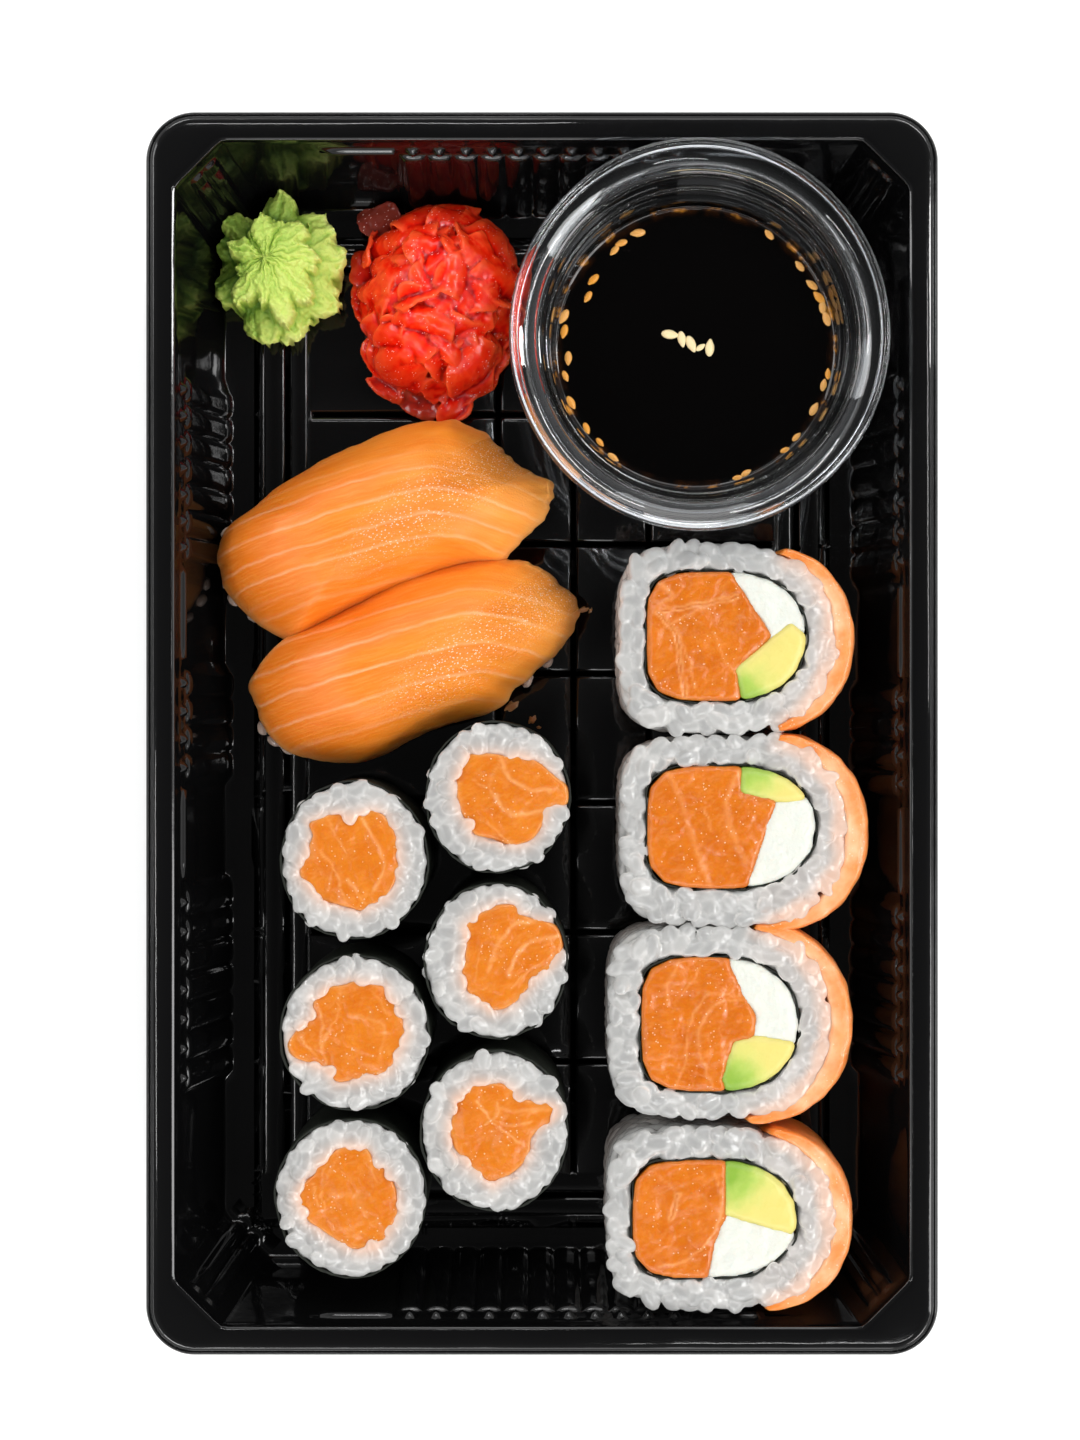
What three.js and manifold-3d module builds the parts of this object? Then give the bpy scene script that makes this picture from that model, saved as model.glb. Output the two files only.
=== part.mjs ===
// Takeaway sushi tray: a black thermoformed tray with two salmon nigiri, six thin maki rolls,
// four salmon uramaki, wasabi, pickled ginger and a clear cup of soy sauce with sesame.
// Millimetres, +Z up, origin under the middle of the tray on the surface it stands on.
// The long side of the tray runs along Y.

import * as THREE from 'three';
import { mergeVertices } from 'three/addons/utils/BufferGeometryUtils.js';
import Module from 'manifold-3d';

const wasm = await Module();
wasm.setup();

// ---------------------------------------------------------------- driving dimensions

const GAP = 0.3; // air between two pieces that touch

const TRAY = {
  halfWidth: 69,
  halfLength: 108,
  rimTop: 27,
  floorTop: 1.0,
  wall: 0.8, // thickness of the formed sheet
  cornerRadius: 9, // outer corners of the rim
  chamfer: 8, // inner corners are cut across
  chamferEase: 1.2,
  footSide: 10.25, // inset of the wall's foot from the rim's outer edge, long sides
  footEnd: 11.5, // the same at the short ends
  topSide: 5.6, // inset of the wall's top edge
  topEnd: 5.6,
  wallFootZ: 2.0,
  wallTopZ: 25.6,
  baseInset: 0.7, // the standing base lies this far inside the wall's foot
  baseEaseZ: 1.4, // where the base's rounded edge meets the wall
  underRimEase: 0.9,
  floorEase: 0.8,
  lipDrop: 3.8, // how far the rim's outer lip hangs down
  lipWall: 0.8,
};

const COLUMN = {
  depth: 0.95,
  footDepth: 1.35,
  cusp: 0.08, // the cusps between columns stand this far out of the wall
  footCusp: 0.75,
  notch: 0.4,
  flat: 0.45, // share of the column's width that its front face takes
  root: 0.3, // how far the column is sunk into the wall
  bottomZ: 0.9,
  shoulderZ: 21.0,
};
const KNOB = { radius: 0.85, depth: 1.1, z: 22.7 };
const BAR = { height: 1.5, depth: 0.9, z: 22.7 };

// Columns along a wall: middle of the first, middle of the last, how many.
const SIDE_COLUMNS = [
  { from: 60.7, to: 30.1, count: 7 },
  { from: 6.0, to: -8.8, count: 4 },
  { from: -31.9, to: -59.4, count: 7 },
];
const END_COLUMNS = [{ from: -23.1, to: 23.1, count: 11 }];
const CORNER_FLUTES = { from: -1.6, to: 1.6, count: 2 };
const SIDE_BARS = [{ from: 9.7, to: 26.0 }, { from: -28.0, to: -13.0 }];
const END_BARS = [{ from: 26.0, to: 38.8 }, { from: -38.8, to: -26.0 }];

const GROOVE = {
  width: 1.8,
  depth: 0.45,
  columnsFrom: -8.06, // grooves that run along Y
  columnPitch: 13.83,
  columnCount: 3,
  rowsFrom: -60.4, // grooves that run along X
  rowPitch: 23.75,
  rowCount: 6,
  columnsEnd: 81,
  rowsEnd: 42.5,
  channelX: 46.7, // one long groove beside each wall
  channelEnd: 82.5,
  crossY: 84.9, // one short groove beside each end
};

const CUP = {
  x: 26.8,
  y: 67.6,
  rimRadius: 32.4,
  rimTop: 34,
  baseRadius: 22.9,
  baseBottom: 1.3,
  wall: 0.6,
  segments: 24,
};
const SOY = { radius: 24.45, baseRadius: 22.0, bottom: 2.5, top: 20, meniscus: 0.25, meniscusWidth: 1.2 };
const SEED = { length: 3.1, width: 1.7, height: 0.9, inset: 1.5, scatter: 1.1 };
// Seeds float against the cup as loose groups: start and end angle in degrees, how many.
const SEED_ARCS = [
  { from: -4, to: 26, count: 6 },
  { from: 32, to: 57, count: 2 },
  { from: -62, to: -16, count: 5 },
  { from: 112, to: 150, count: 4 },
  { from: 175, to: 225, count: 6 },
];
const SEED_ROW = { fromX: -4.5, toX: 2.8, fromY: 2.4, toY: 0.0, count: 5, turn: -28, turnStep: -16 };

const ROLL_TOP = 26;
const FOOD_BOTTOM = TRAY.floorTop + GAP;

const NORI = 0.5;

// Thin maki: centre and half sizes of the roll, then of the salmon inside it.
const MAKI = [
  {
    x: -7.7, y: -11.0, halfX: 12.6, halfY: 13.2,
    core: { x: -5.9, y: -11.3, halfX: 8.8, halfY: 7.5 },
  },
  {
    x: -32.6, y: -22.0, halfX: 12.9, halfY: 13.8,
    core: { x: -32.8, y: -22.3, halfX: 8.4, halfY: 8.1 },
  },
  {
    x: -8.0, y: -39.5, halfX: 12.5, halfY: 13.6,
    core: { x: -5.6, y: -38.8, halfX: 8.4, halfY: 8.6 },
  },
  {
    x: -32.4, y: -51.9, halfX: 13.0, halfY: 13.5,
    core: { x: -33.2, y: -52.4, halfX: 9.5, halfY: 8.2 },
  },
  {
    x: -8.2, y: -68.9, halfX: 12.9, halfY: 14.0,
    core: { x: -7.4, y: -68.9, halfX: 8.9, halfY: 8.8 },
  },
  {
    x: -33.2, y: -80.6, halfX: 13.2, halfY: 13.9,
    core: { x: -33.3, y: -80.9, halfX: 8.7, halfY: 8.6 },
  },
];
const MAKI_SIDES = 20;

// Uramaki: the rice ring's middle and half sizes on the cut face, the same of the nori ring in it,
// and the two angles between which a slice of salmon is laid round the outside.
// The line 'split' cuts the filling (salmon on the left of it), and 'avocado' gives the corners of
// the avocado stick's end. 'lean' and 'narrow' are for a roll that lies against the end wall.
const URAMAKI = [
  {
    x: 31.4, y: 16.8, halfX: 17.9, halfY: 15.9,
    nori: { x: 31.9, y: 16.8, halfX: 14.0, halfY: 11.4 },
    drape: { from: -52, to: 58, thick: 3.9 },
    split: [[32.0, 40], [32.0, 28], [39.2, 17.0], [33.3, 11.0], [35.2, -2]],
    avocado: [[43.0, 18.8], [47.6, 14.6], [35.6, 3.4], [33.7, 11.0]],
  },
  {
    x: 32.5, y: -17.1, halfX: 18.9, halfY: 15.9,
    nori: { x: 32.8, y: -16.2, halfX: 14.8, halfY: 10.8 },
    drape: { from: -57, to: 60, thick: 4.2 },
    split: [[34.6, 8], [34.9, -9.9], [40.2, -11.4], [34.9, -27.0], [34.9, -40]],
    avocado: [[34.6, -3.6], [40.2, -4.2], [47.6, -11.3], [40.2, -11.4], [34.6, -9.9]],
  },
  {
    x: 30.2, y: -50.2, halfX: 18.6, halfY: 15.9,
    nori: { x: 30.8, y: -50.3, halfX: 13.8, halfY: 11.8 },
    drape: { from: -60, to: 68, thick: 4.1 },
    split: [
      [32.0, -30], [32.0, -40], [36.6, -49.1], [36.6, -51.8], [33.2, -54.0], [31.2, -60.6], [32.6, -72],
    ],
    avocado: [[37.0, -52.6], [46.2, -54.2], [46.2, -57.0], [32.6, -62.8], [31.2, -59.6], [33.4, -53.4]],
  },
  {
    x: 30.2, y: -84.4, halfX: 18.8, halfY: 15.4, lean: 1.9, narrow: 0.18,
    nori: { x: 29.9, y: -84.0, halfX: 14.4, halfY: 10.4 },
    drape: { from: -66, to: 60, thick: 4.0 },
    split: [[31.8, -60], [31.8, -82.8], [29.4, -88.4], [27.4, -98], [27.4, -110]],
    avocado: [[31.8, -74.0], [37.0, -74.6], [45.0, -80.4], [43.5, -86.3], [31.8, -82.9]],
  },
];
const ROLL_SIDES = 28;
const ROLL_SQUARE = 4.6; // exponent of the flat left half of a roll's outline
const ROLL_ROUND = 2.2; // exponent of its round right half
const GRAIN = { relief: 0.42, courses: 4 };

// Nigiri: middle, half length, half width and top of the salmon.
const NIGIRI = [
  { x: -29.4, y: 38.9, halfLength: 30.0, halfWidth: 13.4, top: 28.5 },
  { x: -21.9, y: 13.5, halfLength: 29.6, halfWidth: 11.8, top: 27.5 },
];
const NIGIRI_TURN = 25; // of the long axis from X, in degrees
const SLICE = {
  thick: 3.6,
  edgeThick: 2.88,
  sideZ: 5.2, // how low the edge hangs on the long sides
  endZ: 6.5, // and at the ends
  slant: 0.55,
  squareness: 2.7,
  sides: 24,
};

const WASABI = { x: -46.9, y: 83.9, radius: 10.9, height: 15.5, lobes: 9, sides: 36 };
const GINGER = { x: -19.0, y: 78.6, halfX: 12.6, halfY: 16.0, height: 17, slices: 9, sliceThick: 1.0 };

const COLOUR = {
  tray: 0x0b0b0c,
  cup: 0xdfe6ea,
  soy: 0x140a06,
  wasabi: 0xa5cd5a,
  ginger: 0xeb3c28,
  nori: 0x101812,
  rice: 0xe9ebe8,
  salmon: 0xf0872e,
  slice: 0xf5963c,
  cheese: 0xfafaf0,
  avocado: 0xb9d778,
};

// ---------------------------------------------------------------- small tools

const sushiTray = new THREE.Group();
sushiTray.name = 'takeaway_sushi_tray';

function add(name, geometry, color, roughness = 0.5) {
  const material = new THREE.MeshStandardMaterial({ color, roughness, metalness: 0 });
  const mesh = new THREE.Mesh(geometry, material);
  mesh.name = name;
  sushiTray.add(mesh);
}

// A repeatable stream of numbers from 0 to 1.
function seeded(seed) {
  let state = seed;
  return () => {
    state = (state * 1664525 + 1013904223) % 4294967296;
    return state / 4294967296;
  };
}

const radians = THREE.MathUtils.degToRad;

function between(from, to, share) {
  return from + (to - from) * share;
}

// Points spread evenly from one value to another, both ends included.
function spread(from, to, count) {
  return Array.from({ length: count }, (_, i) => between(from, to, count === 1 ? 0.5 : i / (count - 1)));
}

// A point of a rounded box outline in a direction: exponent 2 is an ellipse, more is squarer.
function roundedBox(angle, halfX, halfY, exponent) {
  const cos = Math.cos(angle);
  const sin = Math.sin(angle);
  const reach = (Math.abs(cos / halfX) ** exponent + Math.abs(sin / halfY) ** exponent) ** (-1 / exponent);
  return [reach * cos, reach * sin];
}

// A point of a roll's outline, which is squarish on its left and rounder on its right.
function rollPoint(angle, centreX, centreY, halfX, halfY) {
  const [x, y] = roundedBox(angle, halfX, halfY, Math.cos(angle) < 0 ? ROLL_SQUARE : ROLL_ROUND);
  return [centreX + x, centreY + y];
}

// A closed solid from vertices and triangles.
function faceted(vertices, faces) {
  const geometry = new THREE.BufferGeometry();
  geometry.setAttribute('position', new THREE.Float32BufferAttribute(vertices.flat(), 3));
  geometry.setIndex(faces.flat());
  return geometry;
}

// Triangles that close a ring, facing up.
function capFaces(ring, offset) {
  const outline = ring.map(([x, y]) => new THREE.Vector2(x, y));
  return THREE.ShapeUtils.triangulateShape(outline, []).map((face) => {
    const [a, b, c] = face.map((index) => outline[index]);
    const turn = (b.x - a.x) * (c.y - a.y) - (b.y - a.y) * (c.x - a.x);
    const ordered = turn > 0 ? face : [face[0], face[2], face[1]];
    return ordered.map((index) => index + offset);
  });
}

// A skin over rings of equal count that run counter-clockwise seen from above. With ends 'capped'
// the first ring is closed from below and the last from above; with 'joined' the last ring meets
// the first one, which makes a ring-shaped solid.
function skin(rings, ends = 'capped') {
  const count = rings[0].length;
  const faces = [];
  const bands = ends === 'joined' ? rings.length : rings.length - 1;
  for (let band = 0; band < bands; band += 1) {
    const low = band * count;
    const high = ((band + 1) % rings.length) * count;
    for (let i = 0; i < count; i += 1) {
      const j = (i + 1) % count;
      faces.push([low + i, low + j, high + j], [low + i, high + j, high + i]);
    }
  }
  if (ends === 'capped') {
    faces.push(...capFaces(rings[0], 0).map(([a, b, c]) => [a, c, b]));
    faces.push(...capFaces(rings.at(-1), (rings.length - 1) * count));
  }
  return faceted(rings.flat(), faces);
}

// A dome: rings that climb and close in one point at the top.
function dome(rings, apex) {
  const count = rings[0].length;
  const body = skin(rings, 'open');
  const faces = [];
  const index = body.getIndex().array;
  for (let i = 0; i < index.length; i += 3) {
    faces.push([index[i], index[i + 1], index[i + 2]]);
  }
  faces.push(...capFaces(rings[0], 0).map(([a, b, c]) => [a, c, b]));
  const last = (rings.length - 1) * count;
  const top = rings.length * count;
  for (let i = 0; i < count; i += 1) {
    faces.push([last + i, last + ((i + 1) % count), top]);
  }
  return faceted([...rings.flat(), apex], faces);
}

// The same surface with its shared corners merged, holding positions alone.
function welded(geometry) {
  const bare = geometry.clone();
  bare.deleteAttribute('normal');
  bare.deleteAttribute('uv');
  return mergeVertices(bare, 1e-4);
}

function toSolid(geometry) {
  const merged = welded(geometry);
  const vertProperties = Float32Array.from(merged.getAttribute('position').array);
  const triVerts = Uint32Array.from(merged.getIndex().array);
  return new wasm.Manifold(new wasm.Mesh({ numProp: 3, vertProperties, triVerts }));
}

function toGeometry(solid) {
  const mesh = solid.getMesh();
  const geometry = new THREE.BufferGeometry();
  geometry.setAttribute('position', new THREE.BufferAttribute(Float32Array.from(mesh.vertProperties), 3));
  geometry.setIndex(new THREE.BufferAttribute(Uint32Array.from(mesh.triVerts), 1));
  return geometry;
}

function joined(geometries) {
  return geometries.map(toSolid).reduce((whole, piece) => whole.add(piece));
}

// A straight prism on a plan outline given counter-clockwise.
function prism(outline, low, high) {
  const area = outline.reduce((sum, [x, y], i) => {
    const [nextX, nextY] = outline[(i + 1) % outline.length];
    return sum + x * nextY - nextX * y;
  }, 0);
  const ordered = area > 0 ? outline : [...outline].reverse();
  return skin([low, high].map((z) => ordered.map(([x, y]) => [x, y, z])));
}

function rollOutline(centreX, centreY, halfX, halfY, count, ripple = () => 0) {
  return Array.from({ length: count }, (_, i) => {
    const stretch = ripple(i);
    return rollPoint((i / count) * 2 * Math.PI, centreX, centreY, halfX + stretch, halfY + stretch);
  });
}

function ovalOutline(centreX, centreY, halfX, halfY, count, ripple = () => 0) {
  return Array.from({ length: count }, (_, i) => {
    const angle = (i / count) * 2 * Math.PI;
    const stretch = ripple(i);
    return [centreX + Math.cos(angle) * (halfX + stretch), centreY + Math.sin(angle) * (halfY + stretch)];
  });
}

function atHeight(outline, z) {
  return outline.map(([x, y], i) => [x, y, typeof z === 'function' ? z(i) : z]);
}

// ---------------------------------------------------------------- tray

// One corner of a ring in the first quadrant, six points from the long side to the short end.
function cornerPoints(halfWidth, halfLength, style, radius) {
  if (style === 'round') {
    const middle = [halfWidth - radius, halfLength - radius];
    return spread(0, 90, 6).map((angle) => [
      middle[0] + radius * Math.cos(radians(angle)),
      middle[1] + radius * Math.sin(radians(angle)),
    ]);
  }
  const ease = TRAY.chamferEase;
  const slant = ease * Math.SQRT1_2;
  const soften = ease * 0.12;
  const low = [halfWidth, halfLength - TRAY.chamfer];
  const high = [halfWidth - TRAY.chamfer, halfLength];
  return [
    [low[0], low[1] - ease],
    [low[0] - soften, low[1] - soften / 2],
    [low[0] - slant, low[1] + slant],
    [high[0] + slant, high[1] - slant],
    [high[0] - soften / 2, high[1] - soften],
    [high[0] - ease, high[1]],
  ];
}

function trayRing({ side, end, z, style, radius = TRAY.cornerRadius }) {
  const corner = cornerPoints(TRAY.halfWidth - side, TRAY.halfLength - end, style, radius);
  const mirrored = [...corner].reverse();
  return [
    ...corner.map(([x, y]) => [x, y, z]),
    ...mirrored.map(([x, y]) => [-x, y, z]),
    ...corner.map(([x, y]) => [-x, -y, z]),
    ...mirrored.map(([x, y]) => [x, -y, z]),
  ];
}

// Inner face of the wall: how far up it a height lies, and how far it stands from the middle there.
function wallShare(z) {
  return (z - TRAY.wallFootZ) / (TRAY.wallTopZ - TRAY.wallFootZ);
}

function innerHalfWidth(z) {
  return TRAY.halfWidth - between(TRAY.footSide, TRAY.topSide, wallShare(z));
}

function innerHalfLength(z) {
  return TRAY.halfLength - between(TRAY.footEnd, TRAY.topEnd, wallShare(z));
}

const WALLS = {
  side: {
    outward: [1, 0],
    at: (along, z) => [innerHalfWidth(z), along],
  },
  end: {
    outward: [0, 1],
    at: (along, z) => [-along, innerHalfLength(z)],
  },
  corner: {
    outward: [Math.SQRT1_2, Math.SQRT1_2],
    at: (along, z) => [
      innerHalfWidth(z) - TRAY.chamfer / 2 - along * Math.SQRT1_2,
      innerHalfLength(z) - TRAY.chamfer / 2 + along * Math.SQRT1_2,
    ],
  },
};

// A point given by its distance beyond the wall's inner face, its place along it and its height.
function onWall(wall, beyond, along, z) {
  const [x, y] = wall.at(along, z);
  return [x + wall.outward[0] * beyond, y + wall.outward[1] * beyond, z];
}

// A row of columns side by side on the inside of the wall, as one ribbed panel. Each column shows
// three faces, meets the next in a cusp, and ends in a small knob above a notch.
function wallColumns(wall, { from, to, count }) {
  const half = Math.abs(to - from) / (count - 1) / 2;
  const levels = [
    { z: COLUMN.bottomZ, depth: COLUMN.footDepth, cusp: COLUMN.footCusp },
    { z: COLUMN.shoulderZ, depth: COLUMN.depth, cusp: COLUMN.cusp },
    { z: KNOB.z - KNOB.radius, depth: COLUMN.notch, cusp: COLUMN.cusp },
    { z: KNOB.z, depth: KNOB.depth, cusp: COLUMN.cusp },
    { z: KNOB.z + KNOB.radius, depth: COLUMN.cusp, cusp: COLUMN.cusp },
  ];
  const [low, high] = [Math.min(from, to) - half, Math.max(from, to) + half];
  return skin(levels.map(({ z, depth, cusp }) => [
    onWall(wall, COLUMN.root, low, z),
    onWall(wall, COLUMN.root, high, z),
    onWall(wall, -cusp, high, z),
    ...spread(high - half, low + half, count).flatMap((along) => [
      onWall(wall, -depth, along + half * COLUMN.flat, z),
      onWall(wall, -depth, along - half * COLUMN.flat, z),
      onWall(wall, -cusp, along - half, z),
    ]),
  ]));
}

function wallBar(wall, { from, to }) {
  const half = BAR.height / 2;
  return skin([BAR.z - half, BAR.z + half].map((z) => [
    onWall(wall, COLUMN.root, from, z),
    onWall(wall, COLUMN.root, to, z),
    onWall(wall, -BAR.depth, to, z),
    onWall(wall, -BAR.depth, from, z),
  ]));
}

// The relief of one long side, one short end and one corner, then its mirror images.
function trayRelief() {
  const sides = [
    ...SIDE_COLUMNS.map((row) => wallColumns(WALLS.side, row)),
    ...SIDE_BARS.map((bar) => wallBar(WALLS.side, bar)),
  ];
  const ends = [
    ...END_COLUMNS.map((row) => wallColumns(WALLS.end, row)),
    ...END_BARS.map((bar) => wallBar(WALLS.end, bar)),
  ];
  const corner = wallColumns(WALLS.corner, CORNER_FLUTES);
  return [
    ...sides, ...sides.map((piece) => mirrored(piece, -1, 1)),
    ...ends, ...ends.map((piece) => mirrored(piece, 1, -1)),
    ...[[1, 1], [-1, 1], [1, -1], [-1, -1]].map(([x, y]) => mirrored(corner, x, y)),
  ];
}

// A copy mirrored in X or Y, with its faces turned to point outwards again.
function mirrored(geometry, x, y) {
  const copy = geometry.clone().scale(x, y, 1);
  if (x * y < 0) {
    const index = Array.from(copy.getIndex().array);
    for (let i = 0; i < index.length; i += 3) {
      [index[i + 1], index[i + 2]] = [index[i + 2], index[i + 1]];
    }
    copy.setIndex(index);
  }
  return copy;
}

function grooveCutter(fromX, toX, fromY, toY) {
  const low = TRAY.floorTop - GROOVE.depth;
  const height = GROOVE.depth * 3;
  const box = new THREE.BoxGeometry(toX - fromX, toY - fromY, height);
  return box.translate((fromX + toX) / 2, (fromY + toY) / 2, low + height / 2);
}

// Places along a repeat.
function repeated(from, pitch, count) {
  return Array.from({ length: count }, (_, i) => from + i * pitch);
}

function floorGrooves() {
  const half = GROOVE.width / 2;
  const along = (x, end) => grooveCutter(x - half, x + half, -end, end);
  const across = (y) => grooveCutter(-GROOVE.rowsEnd, GROOVE.rowsEnd, y - half, y + half);
  const columns = repeated(GROOVE.columnsFrom, GROOVE.columnPitch, GROOVE.columnCount);
  const rows = repeated(GROOVE.rowsFrom, GROOVE.rowPitch, GROOVE.rowCount);
  return [
    ...columns.map((x) => along(x, GROOVE.columnsEnd)),
    ...[-GROOVE.channelX, GROOVE.channelX].map((x) => along(x, GROOVE.channelEnd)),
    ...[-GROOVE.crossY, ...rows, GROOVE.crossY].map(across),
  ];
}

// The formed sheet from the middle of its underside, up the outside, over the rim and back down
// the inside to the floor.
function trayShell() {
  const { wall, rimTop, floorTop, wallFootZ, wallTopZ, footSide, footEnd, topSide, topEnd } = TRAY;
  const { baseInset, baseEaseZ, underRimEase, floorEase, lipDrop, lipWall } = TRAY;
  const cut = (inset, z, from) => ({ side: from.side + inset, end: from.end + inset, z, style: 'chamfer' });
  const round = (inset, z, radius = TRAY.cornerRadius - inset) => (
    { side: inset, end: inset, z, style: 'round', radius }
  );
  const foot = { side: footSide, end: footEnd };
  const top = { side: topSide, end: topEnd };
  return skin([
    cut(baseInset, 0, foot),
    cut(-wall, baseEaseZ, foot),
    cut(-wall, wallTopZ - 0.4, top),
    cut(-wall - underRimEase, rimTop - wall, top),
    round(lipWall * 2, rimTop - wall),
    round(lipWall, rimTop - lipDrop),
    round(0, rimTop - lipDrop),
    round(0.35, rimTop - 1.4, 8.6),
    round(1.3, rimTop),
    cut(-1.2, rimTop, top),
    cut(-0.3, rimTop - 0.4, top),
    cut(0, wallTopZ, top),
    cut(0, wallFootZ, foot),
    cut(floorEase, floorTop, foot),
  ].map(trayRing));
}

function makeTray() {
  const ribbed = trayRelief().map(toSolid).reduce((whole, piece) => whole.add(piece), toSolid(trayShell()));
  const grooved = floorGrooves().map(toSolid).reduce((whole, cutter) => whole.subtract(cutter), ribbed);
  add('tray', toGeometry(grooved), COLOUR.tray, 0.15);
}

// ---------------------------------------------------------------- sauce cup and soy

function lathe(profile, segments) {
  const points = profile.map(([radius, z]) => new THREE.Vector2(radius, z));
  return new THREE.LatheGeometry(points, segments).rotateX(Math.PI / 2).translate(CUP.x, CUP.y, 0);
}

function makeCup() {
  const { rimRadius, rimTop, baseRadius, baseBottom, wall } = CUP;
  // From the middle of the base up the outside, over the rolled lip and down the inside.
  const profile = [
    [0, baseBottom],
    [baseRadius - 0.6, baseBottom],
    [baseRadius, baseBottom + 0.6],
    [25.9, rimTop - 11.4],
    [27.4, rimTop - 10.6],
    [28.7, rimTop - 4.5],
    [29.9, rimTop - 1.8],
    [rimRadius, rimTop - 2.2],
    [rimRadius, rimTop - 0.5],
    [rimRadius - 0.7, rimTop],
    [rimRadius - 1.3, rimTop - 0.6],
    [29.3, rimTop - 1.1],
    [28.9, rimTop - 3.7],
    [28.1, rimTop - 4.1],
    [26.9, rimTop - 10.1],
    [25.3, rimTop - 11.1],
    [baseRadius - wall, baseBottom + 0.9],
    [0, baseBottom + 0.9],
  ];
  add('sauce_cup', lathe(profile, CUP.segments), COLOUR.cup, 0.1);
}

// A sesame seed: a flat teardrop with six sides, half sunk in the surface.
function seedSolid(x, y, turn, z) {
  const seed = new THREE.SphereGeometry(0.5, 5, 2);
  seed.rotateX(Math.PI / 2);
  seed.scale(SEED.length, SEED.width, SEED.height);
  seed.rotateZ(turn);
  return seed.translate(x, y, z);
}

function makeSoy() {
  const pool = lathe([
    [0, SOY.bottom],
    [SOY.baseRadius, SOY.bottom],
    [SOY.radius, SOY.top],
    [SOY.radius - SOY.meniscusWidth, SOY.top - SOY.meniscus],
    [0, SOY.top - SOY.meniscus],
  ], CUP.segments);
  const surface = SOY.top - 0.2;
  const random = seeded(11);
  const seeds = SEED_ARCS.flatMap(({ from, to, count }) => spread(from, to, count).map((degrees) => {
    const angle = radians(degrees + (random() - 0.5) * 3);
    const radius = SOY.radius - SEED.inset - random() * SEED.scatter;
    const turn = angle + Math.PI / 2 + (random() - 0.5) * 0.7;
    return seedSolid(CUP.x + radius * Math.cos(angle), CUP.y + radius * Math.sin(angle), turn, surface);
  }));
  const row = spread(0, 1, SEED_ROW.count).map((share, i) => seedSolid(
    CUP.x + between(SEED_ROW.fromX, SEED_ROW.toX, share),
    CUP.y + between(SEED_ROW.fromY, SEED_ROW.toY, share),
    radians(SEED_ROW.turn + i * SEED_ROW.turnStep),
    surface,
  ));
  add('soy_sauce', toGeometry(joined([pool, ...seeds, ...row])), COLOUR.soy, 0.05);
}

// ---------------------------------------------------------------- thin maki

function makeMaki(roll, number) {
  const random = seeded(100 + number);
  const top = ROLL_TOP - 0.4 + random() * 0.5;
  const outer = (inset) => ovalOutline(roll.x, roll.y, roll.halfX - inset, roll.halfY - inset, MAKI_SIDES);

  const lobes = Array.from({ length: MAKI_SIDES }, () => (random() - 0.5) * 1.3);
  const lobed = (i) => lobes[i] * 0.6 + lobes[(i + 1) % MAKI_SIDES] * 0.4;
  const { x: coreX, y: coreY, halfX: coreHalfX, halfY: coreHalfY } = roll.core;
  const core = (grow) => ovalOutline(
    coreX, coreY, coreHalfX - 0.6 + grow, coreHalfY - 0.6 + grow, MAKI_SIDES, lobed,
  );

  add(`maki_${number}_nori`, skin([
    atHeight(outer(0), FOOD_BOTTOM),
    atHeight(outer(0), top),
    atHeight(outer(NORI), top),
    atHeight(outer(NORI), FOOD_BOTTOM),
  ], 'joined'), COLOUR.nori, 0.6);

  const skinInset = NORI + GAP;
  const inner = core(GAP);
  const middle = outer(skinInset).map(([x, y], i) => [(x + inner[i][0]) / 2, (y + inner[i][1]) / 2]);
  add(`maki_${number}_rice`, skin([
    atHeight(outer(skinInset), FOOD_BOTTOM),
    atHeight(outer(skinInset), top - 0.3),
    atHeight(middle, () => top + random() * 0.9),
    atHeight(inner, () => top - 0.5 + random() * 0.4),
    atHeight(inner, FOOD_BOTTOM),
  ], 'joined'), COLOUR.rice, 0.45);

  // Two of every three corners are enough for the salmon.
  const sides = (grow) => core(grow).filter((_, i) => i % 3 !== 1);
  const tall = (z) => () => top + z + (random() - 0.5) * 0.5;
  add(`maki_${number}_salmon`, skin([
    atHeight(sides(0), FOOD_BOTTOM),
    atHeight(sides(0), top - 0.4),
    atHeight(sides(-2.6), tall(0.2)),
  ]), COLOUR.salmon, 0.35);
}

// ---------------------------------------------------------------- uramaki

// Stands a piece of a roll on its foot, which is a little narrower along the tray than the cut
// face and may lie further up the tray, where the roll leans on the end wall.
function settled(geometry, { y: middle, lean = 0, narrow = 0.03 }) {
  const position = geometry.getAttribute('position');
  for (let i = 0; i < position.count; i += 1) {
    const depth = 1 - (position.getZ(i) - FOOD_BOTTOM) / (ROLL_TOP - FOOD_BOTTOM);
    const y = middle + (position.getY(i) - middle) * (1 - narrow * depth) + lean * depth;
    position.setY(i, y);
  }
  return geometry;
}

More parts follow.
